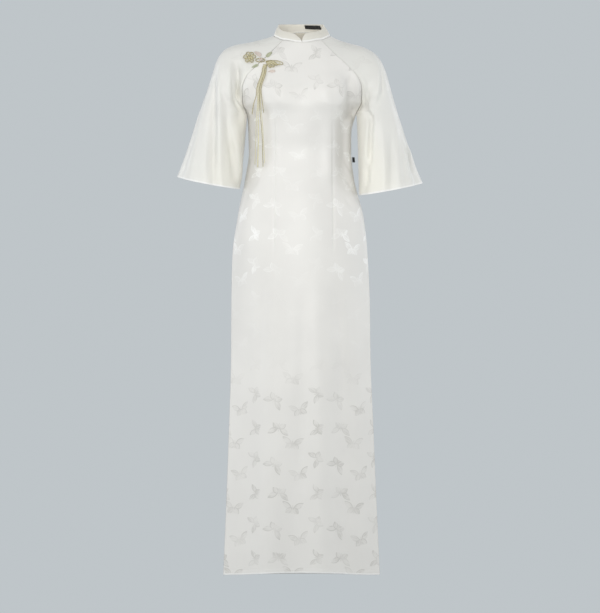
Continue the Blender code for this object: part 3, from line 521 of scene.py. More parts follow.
# Spans are rows down to each station. The last rows give way to rows at these shares of the hem's
# height and at the last step. lastRowLength is in metres, from the last station but one to the last.
panelHem = {
    "spans": ((armpit, 44), (slitTop, 62), (hem, 134)), "lastRowLength": 0.183, "hemRows": (1.12, 1, 0.5),
    "lastStep": 0.008, "replaced": 2, "hemHeight": clothLook["hemHeight"], "sideHem": 0.008,
}
frontCut = {
    "piece": "frontPanel", "node": "front", "columns": 112, "outward": 1,
    # edge x, edge y, edge z, centre y, centre z, turn in degrees at the edge
    "rows": (
        (0.0475, -0.0400, -0.0085, -0.0580, -0.0145, 42),  # neck seam
        (0.0680, -0.0520, -0.0290, -0.0665, -0.0350, 36),
        (0.0925, -0.0650, -0.0530, -0.0760, -0.0585, 34),
        (0.1190, -0.0735, -0.0780, -0.0850, -0.0810, 36),
        (0.1405, -0.0720, -0.1030, -0.0965, -0.1045, 43),
        (0.1495, -0.0610, -0.1330, -0.1060, -0.1335, 52),
        (0.1485, -0.0390, -0.1640, -0.1065, -0.1640, 66),
        (0.1360, 0.0000, -0.1950, -0.1020, -0.1950, 84),  # armpit
        (0.1290, 0.0000, -0.2400, -0.0950, -0.2400, 90),
        (0.1280, 0.0000, -0.2900, -0.0880, -0.2900, 90),  # waist
        (0.1370, 0.0000, -0.3600, -0.0950, -0.3600, 90),
        (0.1580, -0.0010, -0.4550, -0.1060, -0.4550, 90),  # top of the slit
        (0.1690, -0.0100, -0.5400, -0.1100, -0.5400, 78),
        (0.1735, -0.0180, -0.6600, -0.1090, -0.6600, 66),
        (0.1750, -0.0250, -0.8100, -0.1070, -0.8100, 58),
        (0.1810, -0.0320, -0.9800, -0.1050, -0.9800, 52),
        (0.1880, -0.0380, -1.1600, -0.1040, -1.1600, 48),
        (0.1960, -0.0430, -1.3440, -0.1040, -1.3380, 45),  # hem
    ),
    # x at its top, x at the hem, top z, half width, depth outwards of each hanging fold
    "folds": (
        (0.088, 0.105, -0.42, 0.026, -0.0060),
        (0.050, 0.050, -0.50, 0.030, 0.0050),
        (-0.118, -0.135, -0.50, 0.028, -0.0045),
        (-0.070, -0.092, -0.62, 0.034, 0.0050),
        (-0.004, -0.018, -0.74, 0.040, -0.0050),
        (0.140, 0.156, -0.60, 0.024, 0.0040),
    ),
    # x, z, x, z of the two ends, bow, half width, depth of each crease
    "creases": (
        (0.112, -0.084, 0.1270, -0.222, 0.005, 0.0130, 0.0115),
        (-0.114, -0.100, -0.124, -0.215, -0.003, 0.0085, 0.0060),
        (0.104, -0.345, 0.146, -0.425, 0.004, 0.0045, 0.0016),
        (0.096, -0.392, 0.150, -0.470, 0.005, 0.0060, 0.0019),
        (0.110, -0.300, 0.134, -0.352, -0.003, 0.0040, 0.0012),
        (0.132, -0.168, 0.108, -0.214, 0.004, 0.0045, 0.0022),
        (0.122, -0.140, 0.088, -0.192, 0.005, 0.0055, 0.0016),
        (-0.128, -0.170, -0.104, -0.212, -0.004, 0.0045, 0.0020),
        (-0.104, -0.350, -0.146, -0.412, -0.004, 0.0050, 0.0014),
        (0.079, -0.555, 0.098, -0.960, 0.006, 0.0100, 0.0020),
        (-0.090, -0.560, -0.104, -0.900, -0.004, 0.0110, 0.0014),
        (0.002, -0.560, -0.004, -1.180, 0.003, 0.0150, 0.0016),
    ),
    "cup": {"x": 0.068, "z": -0.148, "across": 0.042, "up": 0.050, "depth": 0.015},
    # the fold of cloth beside each dart, where the front turns back towards the side
    "flank": {
        "x": 0.0780, "top": -0.138, "bottom": -0.385, "fade": 0.060, "out": 0.0085, "inner": 0.021,
        "round": 0.003, "run": 0.020, "hollow": -0.45, "outer": 0.017, "onRight": 0.40,
    },
    # the long darts that shape the waist, in order across the panel: x, z at the top and x, z at the
    # foot, the place across of the column that runs along it, and how far the cloth steps in past it
    "darts": {
        wearerRight: {"line": (-0.0665, -0.196, -0.0690, -0.560), "across": -0.47, "step": 0.0018},
        wearerLeft: {"line": (0.0770, -0.196, 0.0780, -0.560), "across": 0.53, "step": 0.0060},
    },
    # the frog closes the raglan edge on the wearer's right, so it lies a little apart from the sleeve
    "opening": {"depth": 0.0028, "to": 3.4, "ending": 2},
}
backCut = {
    "piece": "backPanel", "node": "back", "columns": 100, "outward": -1,
    "rows": (
        (0.0350, 0.0440, 0.0090, 0.0520, 0.0120, 30),  # neck seam
        (0.0540, 0.0570, -0.0110, 0.0660, -0.0060, 28),
        (0.0790, 0.0720, -0.0370, 0.0820, -0.0330, 28),
        (0.1040, 0.0820, -0.0650, 0.0950, -0.0620, 33),
        (0.1260, 0.0830, -0.0960, 0.1030, -0.0940, 45),
        (0.1390, 0.0720, -0.1290, 0.1070, -0.1280, 62),
        (0.1440, 0.0470, -0.1620, 0.1060, -0.1620, 78),
        (0.1360, 0.0000, -0.1950, 0.1020, -0.1950, 90),  # armpit
        (0.1290, 0.0000, -0.2400, 0.0890, -0.2400, 90),
        (0.1280, 0.0000, -0.2900, 0.0800, -0.2900, 90),  # waist
        (0.1370, 0.0000, -0.3600, 0.0930, -0.3600, 90),
        (0.1580, 0.0010, -0.4550, 0.1160, -0.4550, 90),  # top of the slit
        (0.1660, 0.0090, -0.5400, 0.1220, -0.5400, 80),
        (0.1690, 0.0180, -0.6600, 0.1200, -0.6600, 68),
        (0.1700, 0.0260, -0.8100, 0.1170, -0.8100, 60),
        (0.1760, 0.0340, -0.9800, 0.1150, -0.9800, 54),
        (0.1830, 0.0400, -1.1600, 0.1140, -1.1600, 50),
        (0.1900, 0.0450, -1.3460, 0.1140, -1.3450, 47),  # hem
    ),
    "folds": (
        (0.070, 0.092, -0.50, 0.030, -0.0060),
        (0.012, 0.020, -0.60, 0.034, 0.0045),
        (-0.058, -0.070, -0.52, 0.030, -0.0055),
        (-0.120, -0.138, -0.60, 0.026, 0.0040),
        (0.128, 0.146, -0.66, 0.026, 0.0045),
    ),
    "creases": (
        (0.060, -0.215, 0.112, -0.262, 0.006, 0.0060, 0.0022),
        (-0.054, -0.222, -0.110, -0.256, -0.006, 0.0065, 0.0020),
        (0.030, -0.282, 0.110, -0.300, 0.004, 0.0055, 0.0020),
        (-0.022, -0.290, -0.112, -0.312, 0.004, 0.0060, 0.0018),
        (0.020, -0.252, 0.088, -0.246, -0.003, 0.0050, 0.0014),
        (0.128, -0.168, 0.092, -0.224, 0.004, 0.0055, 0.0018),
        (-0.126, -0.172, -0.094, -0.220, -0.004, 0.0050, 0.0018),
        (0.052, -0.560, 0.064, -1.050, 0.005, 0.0110, 0.0020),
        (-0.082, -0.540, -0.092, -0.940, -0.005, 0.0100, 0.0016),
    ),
}
dartLook = {
    "groove": 0.0017, "beside": 0.0016, "valley": 0.0010, "valleyWidth": 0.006,
    "ends": (12, 6),  # how soon it is at its full depth, from its top and from its foot
    "within": 0.96, "samples": 97,  # where across the panel its place is looked for
    # past a dart the cloth steps in, then comes back to its seam; from and to are shares of its length
    "turnWidth": 0.030, "backWidth": 0.018, "turnFrom": -0.16, "turnTo": 0.60, "turnEnds": (6, 3.5),
    "takenUp": 0.022, "takenFrom": -0.40, "takenOver": 0.22,  # length that the darts take up
}


def fillBust(points, edgeX):
    cup = frontCut["cup"]
    filled = bump(points[:, 0] - cup["x"], cup["across"]) * bump(points[:, 2] - cup["z"], cup["up"])
    points[:, 1] -= cup["depth"] * filled * ease((edgeX - points[:, 0]) / cup["across"])


def foldFlank(points, edgeX, across):  # the cloth stands out along the darts and falls back beyond
    flank = frontCut["flank"]
    past = points[:, 0] - flank["x"]
    level = ease((flank["top"] - points[:, 2]) / flank["fade"])
    level *= ease((points[:, 2] - flank["bottom"]) / flank["fade"])
    fallen = np.sqrt(past**2 + flank["round"] ** 2) - flank["round"]
    beyond = np.maximum(1 - fallen / flank["run"], flank["hollow"])
    ridge = np.where(past > 0, beyond, bump(past, flank["inner"]))
    ridge *= ease((edgeX - points[:, 0]) / flank["outer"]) * np.where(across >= 0, 1, flank["onRight"])
    points[:, 1] -= flank["out"] * ridge * level


def panelRow(cut, station, across):  # one row of the front or back, across from -1 to 1
    edgeX, edgeY, edgeZ, centreY, centreZ, turn = rowAt(cut["rows"], station)
    out = -cut["outward"]
    angle = math.radians(turn)
    reach = panelCurve["reach"]
    edge = np.array((edgeX, edgeY, edgeZ))
    centre = np.array((0, centreY, centreZ))
    depth = abs(centreY - edgeY) / max(math.sin(angle), panelCurve["leastTurn"])
    run = np.array((math.cos(angle) * edgeX, -out * math.sin(angle) * depth, 0)) * reach
    points = bezier(centre, centre + (edgeX * reach, 0, 0), edge - run, edge, np.abs(across))
    if cut is frontCut:
        fillBust(points, edgeX)
        foldFlank(points, edgeX, across)
    points[:, 0] *= np.where(across >= 0, 1, -1)
    hemZ = frontCut["rows"][hem][2]
    for topX, hemX, topZ, halfWidth, push in cut["folds"]:
        fall = (topZ - points[:, 2]) / (topZ - hemZ)
        middle = topX + (hemX - topX) * np.maximum(fall, 0)
        pushed = push * ease(fall * panelCurve["foldEase"]) * bump(points[:, 0] - middle, halfWidth)
        points[:, 1] += out * np.where(fall > 0, pushed, 0)
    points[:, 0] += between(bodySway, station)
    return points


def lengthsAlong(grid, axis):  # running length of the cloth from the first row or column
    steps = np.linalg.norm(np.diff(grid, axis=axis), axis=2)
    first = np.zeros_like(steps[:1] if axis == 0 else steps[:, :1])
    return np.concatenate((first, np.cumsum(steps, axis=axis)), axis=axis)


def fromSides(grid):  # how far each point lies from the nearer side of its cloth
    return np.minimum(lengthsAlong(grid, 1), lengthsAlong(grid[:, ::-1], 1)[:, ::-1])


def edgeMaps(grid):  # where each point lies on its cloth, and how far above the hem
    middle = (grid.shape[1] - 1) // 2
    across, down = lengthsAlong(grid, 1), lengthsAlong(grid, 0)
    across = across - across[:, middle : middle + 1]
    fromTop = down[:, middle : middle + 1] * np.ones_like(across)
    above = down[-1:, :] - down
    return {"clothUv": np.stack((across, -fromTop), 2), "edgeUv": np.stack((across, above), 2)}


def gridNormals(grid, outward):
    normals = np.cross(np.gradient(grid, axis=0), np.gradient(grid, axis=1))
    normals /= np.maximum(np.linalg.norm(normals, axis=2), 1e-9)[..., None]
    return normals * outward


creaseShape = {"ends": 3.5, "lips": 0.35, "lipsAt": 2.0}


def pressCreases(grid, normals, creases):  # troughs with soft lips, bowed sideways in the middle
    shape = creaseShape
    for x0, z0, x1, z1, bow, halfWidth, depth in creases:
        along = np.array((x1 - x0, z1 - z0))
        length = np.linalg.norm(along)
        along /= length
        dx, dz = grid[..., 0] - x0, grid[..., 2] - z0
        run = (dx * along[0] + dz * along[1]) / length
        beside = dx * -along[1] + dz * along[0] - bow * np.sin(math.pi * np.clip(run, 0, 1))
        fade = ease(run * shape["ends"]) * ease((1 - run) * shape["ends"])
        lips = shape["lips"] * bump(np.abs(beside) - shape["lipsAt"] * halfWidth, halfWidth)
        grid += normals * (-depth * fade * (bump(beside, halfWidth) - lips))[..., None]


def keepSeams(grid, before, reach):  # creases die out within reach of a seam, so that it stays closed
    kept = ease(fromSides(before) / np.maximum(reach, 1e-6))[..., None]
    return before + (grid - before) * kept


def roundSides(grid, normals, rows=None):  # the last of the cloth curls in a little
    for column in (0, -1):
        grid[:rows, column] -= normals[:rows, column] * clothLook["roundedEdge"]


# The cloth's mesh, each row a line of points; the rows from ringFrom on close into rings.
def clothMesh(name, grid, maps, ringFrom=None, flipped=False):
    rows, columns = grid.shape[:2]
    index = np.arange(rows * columns).reshape(rows, columns)
    if ringFrom is not None:
        index[ringFrom:, -1] = index[ringFrom:, 0]
    steps = ((0, 0), (0, 1), (1, 1), (1, 0)) if flipped else ((0, 0), (1, 0), (1, 1), (0, 1))
    used = {}
    faces, places = [], []
    for r in range(rows - 1):
        for c in range(columns - 1):
            corners = [(r + dr, c + dc) for dr, dc in steps]
            faces.append([used.setdefault(int(index[corner]), len(used)) for corner in corners])
            places += corners
    flat = grid.reshape(-1, 3)
    mesh = bpy.data.meshes.new(name)
    mesh.from_pydata([flat[v].tolist() for v in used], [], faces)
    places = np.array(places)
    for mapName, values in maps.items():
        layer = mesh.uv_layers.new(name=mapName)
        layer.data.foreach_set("uv", values[places[:, 0], places[:, 1]].astype(np.float32).ravel())
    mesh.shade_smooth()
    return mesh


def addPiece(name, mesh, finish, node):
    piece = bpy.data.objects.new(name, mesh)
    bpy.context.scene.collection.objects.link(piece)
    piece.data.materials.append(finish)
    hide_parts(node)
    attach(piece, "root")
    return piece


def addThickness(piece, thickness, inner=None):  # grows inwards; inner is the finish of the inside
    wall = piece.modifiers.new("wall", "SOLIDIFY")
    wall.thickness = thickness
    wall.offset = -1
    wall.use_quality_normals = True
    if inner:
        piece.data.materials.append(inner)
        wall.material_offset = 1
        wall.material_offset_rim = 0
    return wall


def addHems(piece, grid, turnedIn):  # the wall is full where the cloth is turned in, thinner elsewhere
    group = piece.vertex_groups.new(name="turnedIn")
    values = turnedIn.astype(float).reshape(-1)
    known = {}
    for index, place in enumerate(grid.reshape(-1, 3)):
        known.setdefault(tuple(np.round(place, 6)), values[index])
    for vertex in piece.data.vertices:
        key = tuple(np.round(np.array(vertex.co, dtype=float), 6))
        group.add([vertex.index], float(known.get(key, 0.0)), "REPLACE")
    wall = addThickness(piece, clothLook["wall"], finishes["inside"])
    wall.vertex_group = "turnedIn"
    wall.thickness_vertex_group = clothLook["thin"]


def addCloth(name, grid, maps, hemmed, finish, node, outward, ringFrom=None):
    beside = fromSides(grid)
    if ringFrom is not None:
        beside[ringFrom:] = 1
    above = maps["edgeUv"][..., 1]
    mesh = clothMesh(name, grid, maps, ringFrom, outward < 0)
    piece = addPiece(name, mesh, finish, node)
    inHem = above <= hemmed["hemHeight"] * clothLook["hemMargin"]
    addHems(piece, grid, inHem | (beside <= hemmed["sideHem"]))
    return piece


def stationRows(look):  # the rows of a cloth, with some close together where its hem ends
    rows, top = [0.0], 0
    for foot, count in look["spans"]:
        rows += list(np.linspace(top, foot, count + 1)[1:])
        top = foot
    step = look["hemHeight"] / look["lastRowLength"]
    close = [top - step * share for share in look["hemRows"]]
    return np.array(sorted(rows[: -look["replaced"]] + close + [top - look["lastStep"], top]))


def trimmedShares(rowOf, low, high, columns):  # leaves a gap at each side of the cloth
    gap = clothLook["gapEachSide"]
    step = (high - low) * clothLook["measured"]
    ends = rowOf(np.array((low, low + step, high - step, high)))
    longLow, longHigh = (max(np.linalg.norm(ends[i + 1] - ends[i]) / step, 1e-6) for i in (0, 2))
    start, end = low + gap / longLow, high - gap / longHigh
    return start + (end - start) * crowd(columns, clothLook["crowding"])


def dartShares(even, station, dartColumns):  # columns moved over so that some run along the darts
    held = max(station, armpit)
    edgeX, _, _, _, z, _ = rowAt(frontCut["rows"], held)
    dense = np.linspace(-dartLook["within"], dartLook["within"], dartLook["samples"])
    row = panelRow(frontCut, held, dense)
    high = ease((armpit - station) / armpit)
    beside = dartLook["beside"] / edgeX
    anchors, targets = [-1.0], [-1.0]
    for side, column in dartColumns.items():
        x0, z0, x1, z1 = frontCut["darts"][side]["line"]
        x = x0 + (x1 - x0) * min(max((z - z0) / (z1 - z0), 0), 1)
        share = float(np.interp(x, row[:, 0], dense))
        share += (even[column] - share) * high
        anchors += [even[column - 1], even[column], even[column + 1]]
        targets += [share - beside, share, share + beside]
    return np.interp(even, anchors + [1.0], targets + [1.0])


def panelGrid(cut, stations):
    even = crowd(cut["columns"], clothLook["crowding"]) * 2 - 1
    dartColumns = {side: int(np.argmin(abs(even - dart["across"])))
                   for side, dart in cut.get("darts", {}).items()}
    grid = []
    for station in stations:
        def rowOf(across):
            return panelRow(cut, station, across)
        shares = trimmedShares(rowOf, -1.0, 1.0, cut["columns"])
        if dartColumns:
            shares = shares + (dartShares(even, station, dartColumns) - even)
        grid.append(rowOf(shares))
    return np.array(grid), dartColumns


def sewDart(grid, normals, side, column):
    look, dart = dartLook, frontCut["darts"][side]
    _, z0, _, z1 = dart["line"]
    fall = (grid[:, column, 2] - z0) / (z1 - z0)
    depth = ease(fall * look["ends"][0]) * ease((1 - fall) * look["ends"][1])
    near = grid[..., 0] - grid[:, column : column + 1, 0]
    soft = look["valley"] * bump(near, look["valleyWidth"]) * depth[:, None]
    grid -= normals * soft[..., None]
    past = near * side
    begin, end = look["turnEnds"]
    held = ease((fall - look["turnFrom"]) * begin) * ease((look["turnTo"] - fall) * end)
    cameBack = ease((look["turnWidth"] + look["backWidth"] - past) / look["backWidth"])
    step = ease(past / look["turnWidth"]) * cameBack * held[:, None]
    grid -= normals * (dart["step"] * step)[..., None]
    grid[:, column] -= normals[:, column] * (look["groove"] * depth)[:, None]


def makePanel(cut):
    stations = stationRows(panelHem)
    grid, dartColumns = panelGrid(cut, stations)
    maps = edgeMaps(grid)
    if dartColumns:  # the figures above the darts sit lower, by the length taken up
        taken = ease((grid[..., 2] - dartLook["takenFrom"]) / dartLook["takenOver"])
        maps["clothUv"][..., 1] += dartLook["takenUp"] * taken
    normals = gridNormals(grid, cut["outward"])
    before = grid.copy()
    pressCreases(grid, normals, cut["creases"])
    grid = keepSeams(grid, before, clothLook["seamReach"])
    for side, column in dartColumns.items():
        sewDart(grid, normals, side, column)
    roundSides(grid, normals)
    grid[-1] -= normals[-1] * clothLook["roundedEdge"]
    if "opening" in cut:
        look = cut["opening"]
        parted = look["depth"] * ease((look["to"] - stations) * look["ending"])
        grid[:, 0] -= normals[:, 0] * parted[:, None]
    finish = finishes["silk"]
    return addCloth(cut["piece"], grid, maps, panelHem, finish, cut["node"], cut["outward"]), grid


frontPiece, frontGrid = makePanel(frontCut)
backPiece, backGrid = makePanel(backCut)
print("panels made")


# In each sleeve's tables:
# rows: crown x, crown z and, from the armpit down, underarm x, underarm z, half depth
# folds: top station, foot station, place at the top, place at the foot, half width, depth outwards
# creases: x, z, x, z of the two ends, bow, half width, depth
sleeveCuts = {
    wearerLeft: {
        "piece": "sleeveLeft", "node": "sleeve_left",
        "rows": (
            (0.0710, 0.0020, 0, 0, 0),
            (0.0940, -0.0085, 0, 0, 0),
            (0.1225, -0.0172, 0, 0, 0),
            (0.1530, -0.0255, 0, 0, 0),
            (0.1835, -0.0430, 0, 0, 0),
            (0.2020, -0.0690, 0, 0, 0),
            (0.2145, -0.1050, 0, 0, 0),
            (0.2300, -0.1600, 0.1365, -0.1950, 0.069),
            (0.2440, -0.2060, 0.1385, -0.2350, 0.073),
            (0.2595, -0.2520, 0.1400, -0.2760, 0.076),
            (0.2730, -0.2920, 0.1410, -0.3160, 0.079),
            (0.2860, -0.3290, 0.1420, -0.3560, 0.082),
            (0.3015, -0.3655, 0.1430, -0.3955, 0.085),
        ),
        "folds": (
            (4.8, 8.4, 0.03, 0.225, 0.026, -0.0045),
            (4.0, 7.4, 0.40, 0.240, 0.024, -0.0035),
            (7.2, 12, 0.215, 0.090, 0.026, -0.0050),
            (7.5, 12, 0.285, 0.200, 0.030, 0.0035),
            (8.0, 12, 0.330, 0.255, 0.026, -0.0022),
            (7.0, 12, 0.400, 0.300, 0.028, 0.0040),
            (8.5, 12, 0.430, 0.358, 0.024, 0.0065),
            (8.5, 12, 0.490, 0.412, 0.028, -0.0065),
            (5.5, 12, 0.600, 0.570, 0.040, 0.0045),
            (6.5, 12, 0.690, 0.665, 0.034, -0.0060),
            (7.5, 12, 0.770, 0.760, 0.040, 0.0050),
            (5.5, 12, 0.840, 0.860, 0.032, -0.0055),
            (5.5, 12, 0.100, 0.085, 0.065, 0.0035),
        ),
        "creases": (
            (0.141, -0.095, 0.180, -0.225, -0.005, 0.0050, 0.0042),
            (0.1785, -0.165, 0.170, -0.335, -0.003, 0.0048, 0.0046),
            (0.146, -0.115, 0.139, -0.198, 0.002, 0.0045, 0.0030),
            (0.137, -0.140, 0.150, -0.192, 0.001, 0.0035, 0.0020),
            (0.199, -0.072, 0.199, -0.165, 0.002, 0.0045, 0.0030),
            (0.164, -0.315, 0.160, -0.376, 0.001, 0.0050, 0.0034),
            (0.203, -0.280, 0.207, -0.385, 0.001, 0.0075, -0.0012),
            (0.217, -0.245, 0.224, -0.350, 0.001, 0.0065, 0.0010),
            (0.234, -0.270, 0.241, -0.375, 0.001, 0.0075, -0.0014),
            (0.253, -0.255, 0.273, -0.366, 0.002, 0.0045, 0.0048),
        ),
    },
    wearerRight: {
        "piece": "sleeveRight", "node": "sleeve_right",
        "rows": (
            (0.0720, 0.0020, 0, 0, 0),
            (0.0980, -0.0060, 0, 0, 0),
            (0.1315, -0.0142, 0, 0, 0),
            (0.1675, -0.0208, 0, 0, 0),
            (0.1935, -0.0325, 0, 0, 0),
            (0.2120, -0.0575, 0, 0, 0),
            (0.2250, -0.0960, 0, 0, 0),
            (0.2420, -0.1510, 0.1365, -0.1950, 0.069),
            (0.2570, -0.1920, 0.1400, -0.2290, 0.073),
            (0.2690, -0.2310, 0.1430, -0.2640, 0.076),
            (0.2815, -0.2700, 0.1465, -0.3010, 0.079),
            (0.2955, -0.3110, 0.1510, -0.3400, 0.082),
            (0.3110, -0.3505, 0.1560, -0.3800, 0.085),
        ),
        "folds": (
            (4.2, 8.4, 0.14, 0.125, 0.036, -0.0065),
            (5.0, 12, 0.395, 0.217, 0.026, -0.0070),
            (5.5, 12, 0.330, 0.175, 0.028, 0.0034),
            (8.3, 12, 0.205, 0.068, 0.028, -0.0024),
            (7.5, 12, 0.420, 0.330, 0.046, 0.0040),
            (6.5, 12, 0.470, 0.440, 0.028, -0.0040),
            (6.0, 12, 0.560, 0.550, 0.040, 0.0045),
            (5.5, 12, 0.660, 0.640, 0.034, -0.0060),
            (7.5, 12, 0.740, 0.740, 0.040, 0.0050),
            (6.5, 12, 0.860, 0.830, 0.034, -0.0055),
            (5.5, 12, 0.100, 0.085, 0.065, 0.0035),
        ),
        "creases": (
            (-0.2175, -0.055, -0.2185, -0.382, 0.001, 0.0050, 0.0045),
            (-0.225, -0.085, -0.231, -0.382, 0.001, 0.0090, 0.0028),
            (-0.2065, -0.052, -0.2050, -0.378, 0.001, 0.0090, -0.0040),
            (-0.1655, -0.052, -0.1590, -0.178, 0.003, 0.0105, 0.0170),
            (-0.154, -0.080, -0.1510, -0.175, 0.001, 0.0055, -0.0055),
            (-0.188, -0.190, -0.182, -0.275, 0.000, 0.0050, 0.0016),
            (-0.1825, -0.250, -0.167, -0.376, 0.003, 0.0070, 0.0042),
            (-0.1655, -0.200, -0.1560, -0.378, 0.000, 0.0090, -0.0040),
            (-0.246, -0.200, -0.2640, -0.362, -0.003, 0.0090, 0.0020),
        ),
    },
}
cuff = len(sleeveCuts[wearerLeft]["rows"]) - 1
sleeveLook = {
    "columns": 176, "spans": ((armpit, 46), (cuff, 84)), "lastRowLength": 0.038, "hemRows": (1.1, 1),
    "lastStep": 0.02, "replaced": 1, "hemHeight": clothLook["hemHeight"], "sideHem": 0.006,
    "cuffDip": {"front": 0.0045, "back": 0.0, "from": 5},
    "foldStart": 2.5, "foldEnd": 3,  # how soon a fold is at its full depth, from its two ends
    # outwards, over the shoulder, up, reach at the crown: how the cloth leaves its seam in the yoke
    "lead": (
        (0.0100, 0.0090, 0.0030, 0.020),
        (0.0140, 0.0140, 0.0080, 0.028),
        (0.0170, 0.0190, 0.0140, 0.036),
        (0.0190, 0.0210, 0.0200, 0.045),
        (0.0260, 0.0100, 0.0220, 0.055),
        (0.0320, -0.0100, 0.0170, 0.066),
        (0.0260, -0.0450, 0.0080, 0.080),
        (0.0000, -0.0920, 0.0000, 0.092),
    ),
}


def sleevePush(side, station, around):
    push = np.zeros(len(around))
    for top, foot, topPlace, footPlace, halfWidth, depth in sleeveCuts[side]["folds"]:
        run = (station - top) / (foot - top)
        if 0 < run <= 1:
            fading = 1 if foot == cuff else ease(sleeveLook["foldEnd"] * (1 - run))
            place = topPlace + (footPlace - topPlace) * run
            push += depth * ease(sleeveLook["foldStart"] * run) * fading * bump(around - place, halfWidth)
    return push


def sleeveFrame(side, station, back):  # seam, crown, the way off the seam and the reach at the crown
    rows = sleeveCuts[side]["rows"]
    if station <= armpit:
        crownX, crownZ = rowAt(rows[: armpit + 1], station)[:2]
        seam = np.array(rowAt((backCut if back else frontCut)["rows"], station)[:3])
        seam[0] += side * between(bodySway, station)
        *lead, reach = rowAt(sleeveLook["lead"], station)
    else:
        crownX, crownZ, seamX, seamZ, depth = rowAt(rows[armpit:], station - armpit)
        seam = np.array((seamX, 0, seamZ))
        reach = depth * 4 / 3  # which makes the tube an oval
        lead = (0, -reach, 0)
    return seam, np.array((crownX, 0, crownZ)), lead, reach


def sleeveRow(side, station, around):  # one row of a sleeve, around from 0 to 1 over the crown
    row = np.empty((len(around), 3))
    dips = sleeveLook["cuffDip"]
    for back in (False, True):
        chosen = around > 0.5 if back else around <= 0.5
        share = ((1 - around if back else around) * 2)[chosen]
        seam, crown, lead, reach = sleeveFrame(side, station, back)
        facing = 1 if back else -1
        lead = np.array((lead[0], -facing * lead[1], lead[2]))
        points = bezier(seam, seam + lead, crown + (0, facing * reach, 0), crown, share)
        away = points - (seam + crown) / 2
        away /= np.linalg.norm(away, axis=1)[:, None]
        points += away * sleevePush(side, station, around[chosen])[:, None]
        dip = dips["back" if back else "front"] * np.sin(math.pi * share)
        points[:, 2] -= dip * ease((station - dips["from"]) / (cuff - dips["from"]))
        row[chosen] = points
    row[:, 0] *= side
    return row


def makeSleeve(side):
    cut, columns = sleeveCuts[side], sleeveLook["columns"]
    stations = stationRows(sleeveLook)
    grid = []
    for station in stations:
        def rowOf(around):
            return sleeveRow(side, station, around)
        if station < armpit:
            shares = trimmedShares(rowOf, 0.0, 1.0, columns)
        else:
            shares = crowd(columns, clothLook["crowding"] * ease(armpit + 1 - station))
        grid.append(rowOf(shares))
    grid = np.array(grid)
    ringFrom = int(np.argmax(stations >= armpit))
    maps = edgeMaps(grid)
    normals = gridNormals(grid, side)
    before = grid.copy()
    pressCreases(grid, normals, cut["creases"])
    reach = clothLook["seamReach"] * ease(armpit + 1 - stations)[:, None]
    grid = keepSeams(grid, before, reach)
    behind = before[..., 1] > 0  # the creases are in the front half only
    grid[behind] = before[behind]
    roundSides(grid, normals, ringFrom)
    grid[ringFrom:, -1] = grid[ringFrom:, 0]
    finish = finishes["shadedSleeveSilk"]
    return addCloth(cut["piece"], grid, maps, sleeveLook, finish, cut["node"], side, ringFrom), grid


leftSleeve, leftGrid = makeSleeve(wearerLeft)
rightSleeve, rightGrid = makeSleeve(wearerRight)
print("sleeves made")


collarLook = {
    "columns": 132, "rows": 12, "crowding": 0.6, "wall": 0.0022, "softEdge": 0.0007,
    "halfWidth": 0.0555, "front": 0.0480, "back": 0.0490, "lean": -0.0025, "bow": 0.0012,
    "topZ": {"front": 0.0082, "side": 0.0315, "back": 0.0328}, "topFall": {"front": 0.6, "back": 1.5},
    "frontShare": 0.32, "backShare": 0.76,  # where the neck seam leaves the front, then the sleeve
    "startShare": 0.002,  # the nearest place to the centre front that has a direction
    # the opening in front, between the two rounded upper corners
    "notch": {"halfAngle": 0.32, "steeper": 0.58, "cornerAngle": 0.16, "cornerDrop": 0.0015},
}


def neckSeam(share):  # share from 0, centre front, to 1, centre back
    front, back = collarLook["frontShare"], collarLook["backShare"]
    if share <= front:
        return panelRow(frontCut, 0, np.array((share / front,)))[0]
    if share < back:
        return sleeveRow(wearerLeft, 0, np.array(((share - front) / (back - front),)))[0]
    return panelRow(backCut, 0, np.array(((1 - share) / (1 - back),)))[0]


def collarRim(angle):  # the collar's upper edge, at an angle from the centre front
    look = collarLook
    forward = math.cos(angle)
    end = "front" if forward > 0 else "back"
    sideZ = look["topZ"]["side"]
    z = sideZ + (look["topZ"][end] - sideZ) * abs(forward) ** look["topFall"][end]
    return np.array((look["halfWidth"] * math.sin(angle), -look[end] * forward, z))


def collarPoint(share, up):  # share from the left front end round to the right one
    look, notch = collarLook, collarLook["notch"]
    side = wearerLeft if share <= 0.5 else wearerRight
    half = min(share, 1 - share) * 2
    seam = neckSeam(max(half, look["startShare"]))
    angle = math.atan2(seam[0], -seam[1])
    opened = notch["halfAngle"] * up * (notch["steeper"] if side == wearerLeft else 1)
    spread = angle * (math.pi - opened) / math.pi
    top = collarRim(opened + spread)
    top[2] -= notch["cornerDrop"] * (1 - ease(spread / notch["cornerAngle"]))
    foot = seam + (0, 0, clothLook["seamGap"])
    point = foot + (top - foot) * up
    flat = np.array((seam[0], seam[1], 0))
    point = point + flat / np.linalg.norm(flat) * look["bow"] * math.sin(math.pi * up)
    point[0] = point[0] * side + look["lean"] * up
    return point


def makeCollar():
    look, columns = collarLook, collarLook["columns"]
    shares = np.linspace(0, 1, columns + 1)
    ups = 1 - crowd(look["rows"], look["crowding"])
    grid = np.array([[collarPoint(share, up) for share in shares] for up in ups])
    mesh = clothMesh("collarBand", grid, edgeMaps(grid))
    piece = addPiece("collarBand", mesh, finishes["shadedCollarSilk"], "collar")
    addThickness(piece, look["wall"], finishes["inside"])
    atRim = [v.index for v in mesh.vertices
             if v.index <= columns or v.index % (columns + 1) in (0, columns)]
    piece.vertex_groups.new(name="rim").add(atRim, 1.0, "REPLACE")
    edge = piece.modifiers.new("softEdge", "BEVEL")
    edge.width = look["softEdge"]
    edge.segments = 3
    edge.limit_method = "VGROUP"
    edge.vertex_group = "rim"
    return piece


collarPiece = makeCollar()
print("collar made")

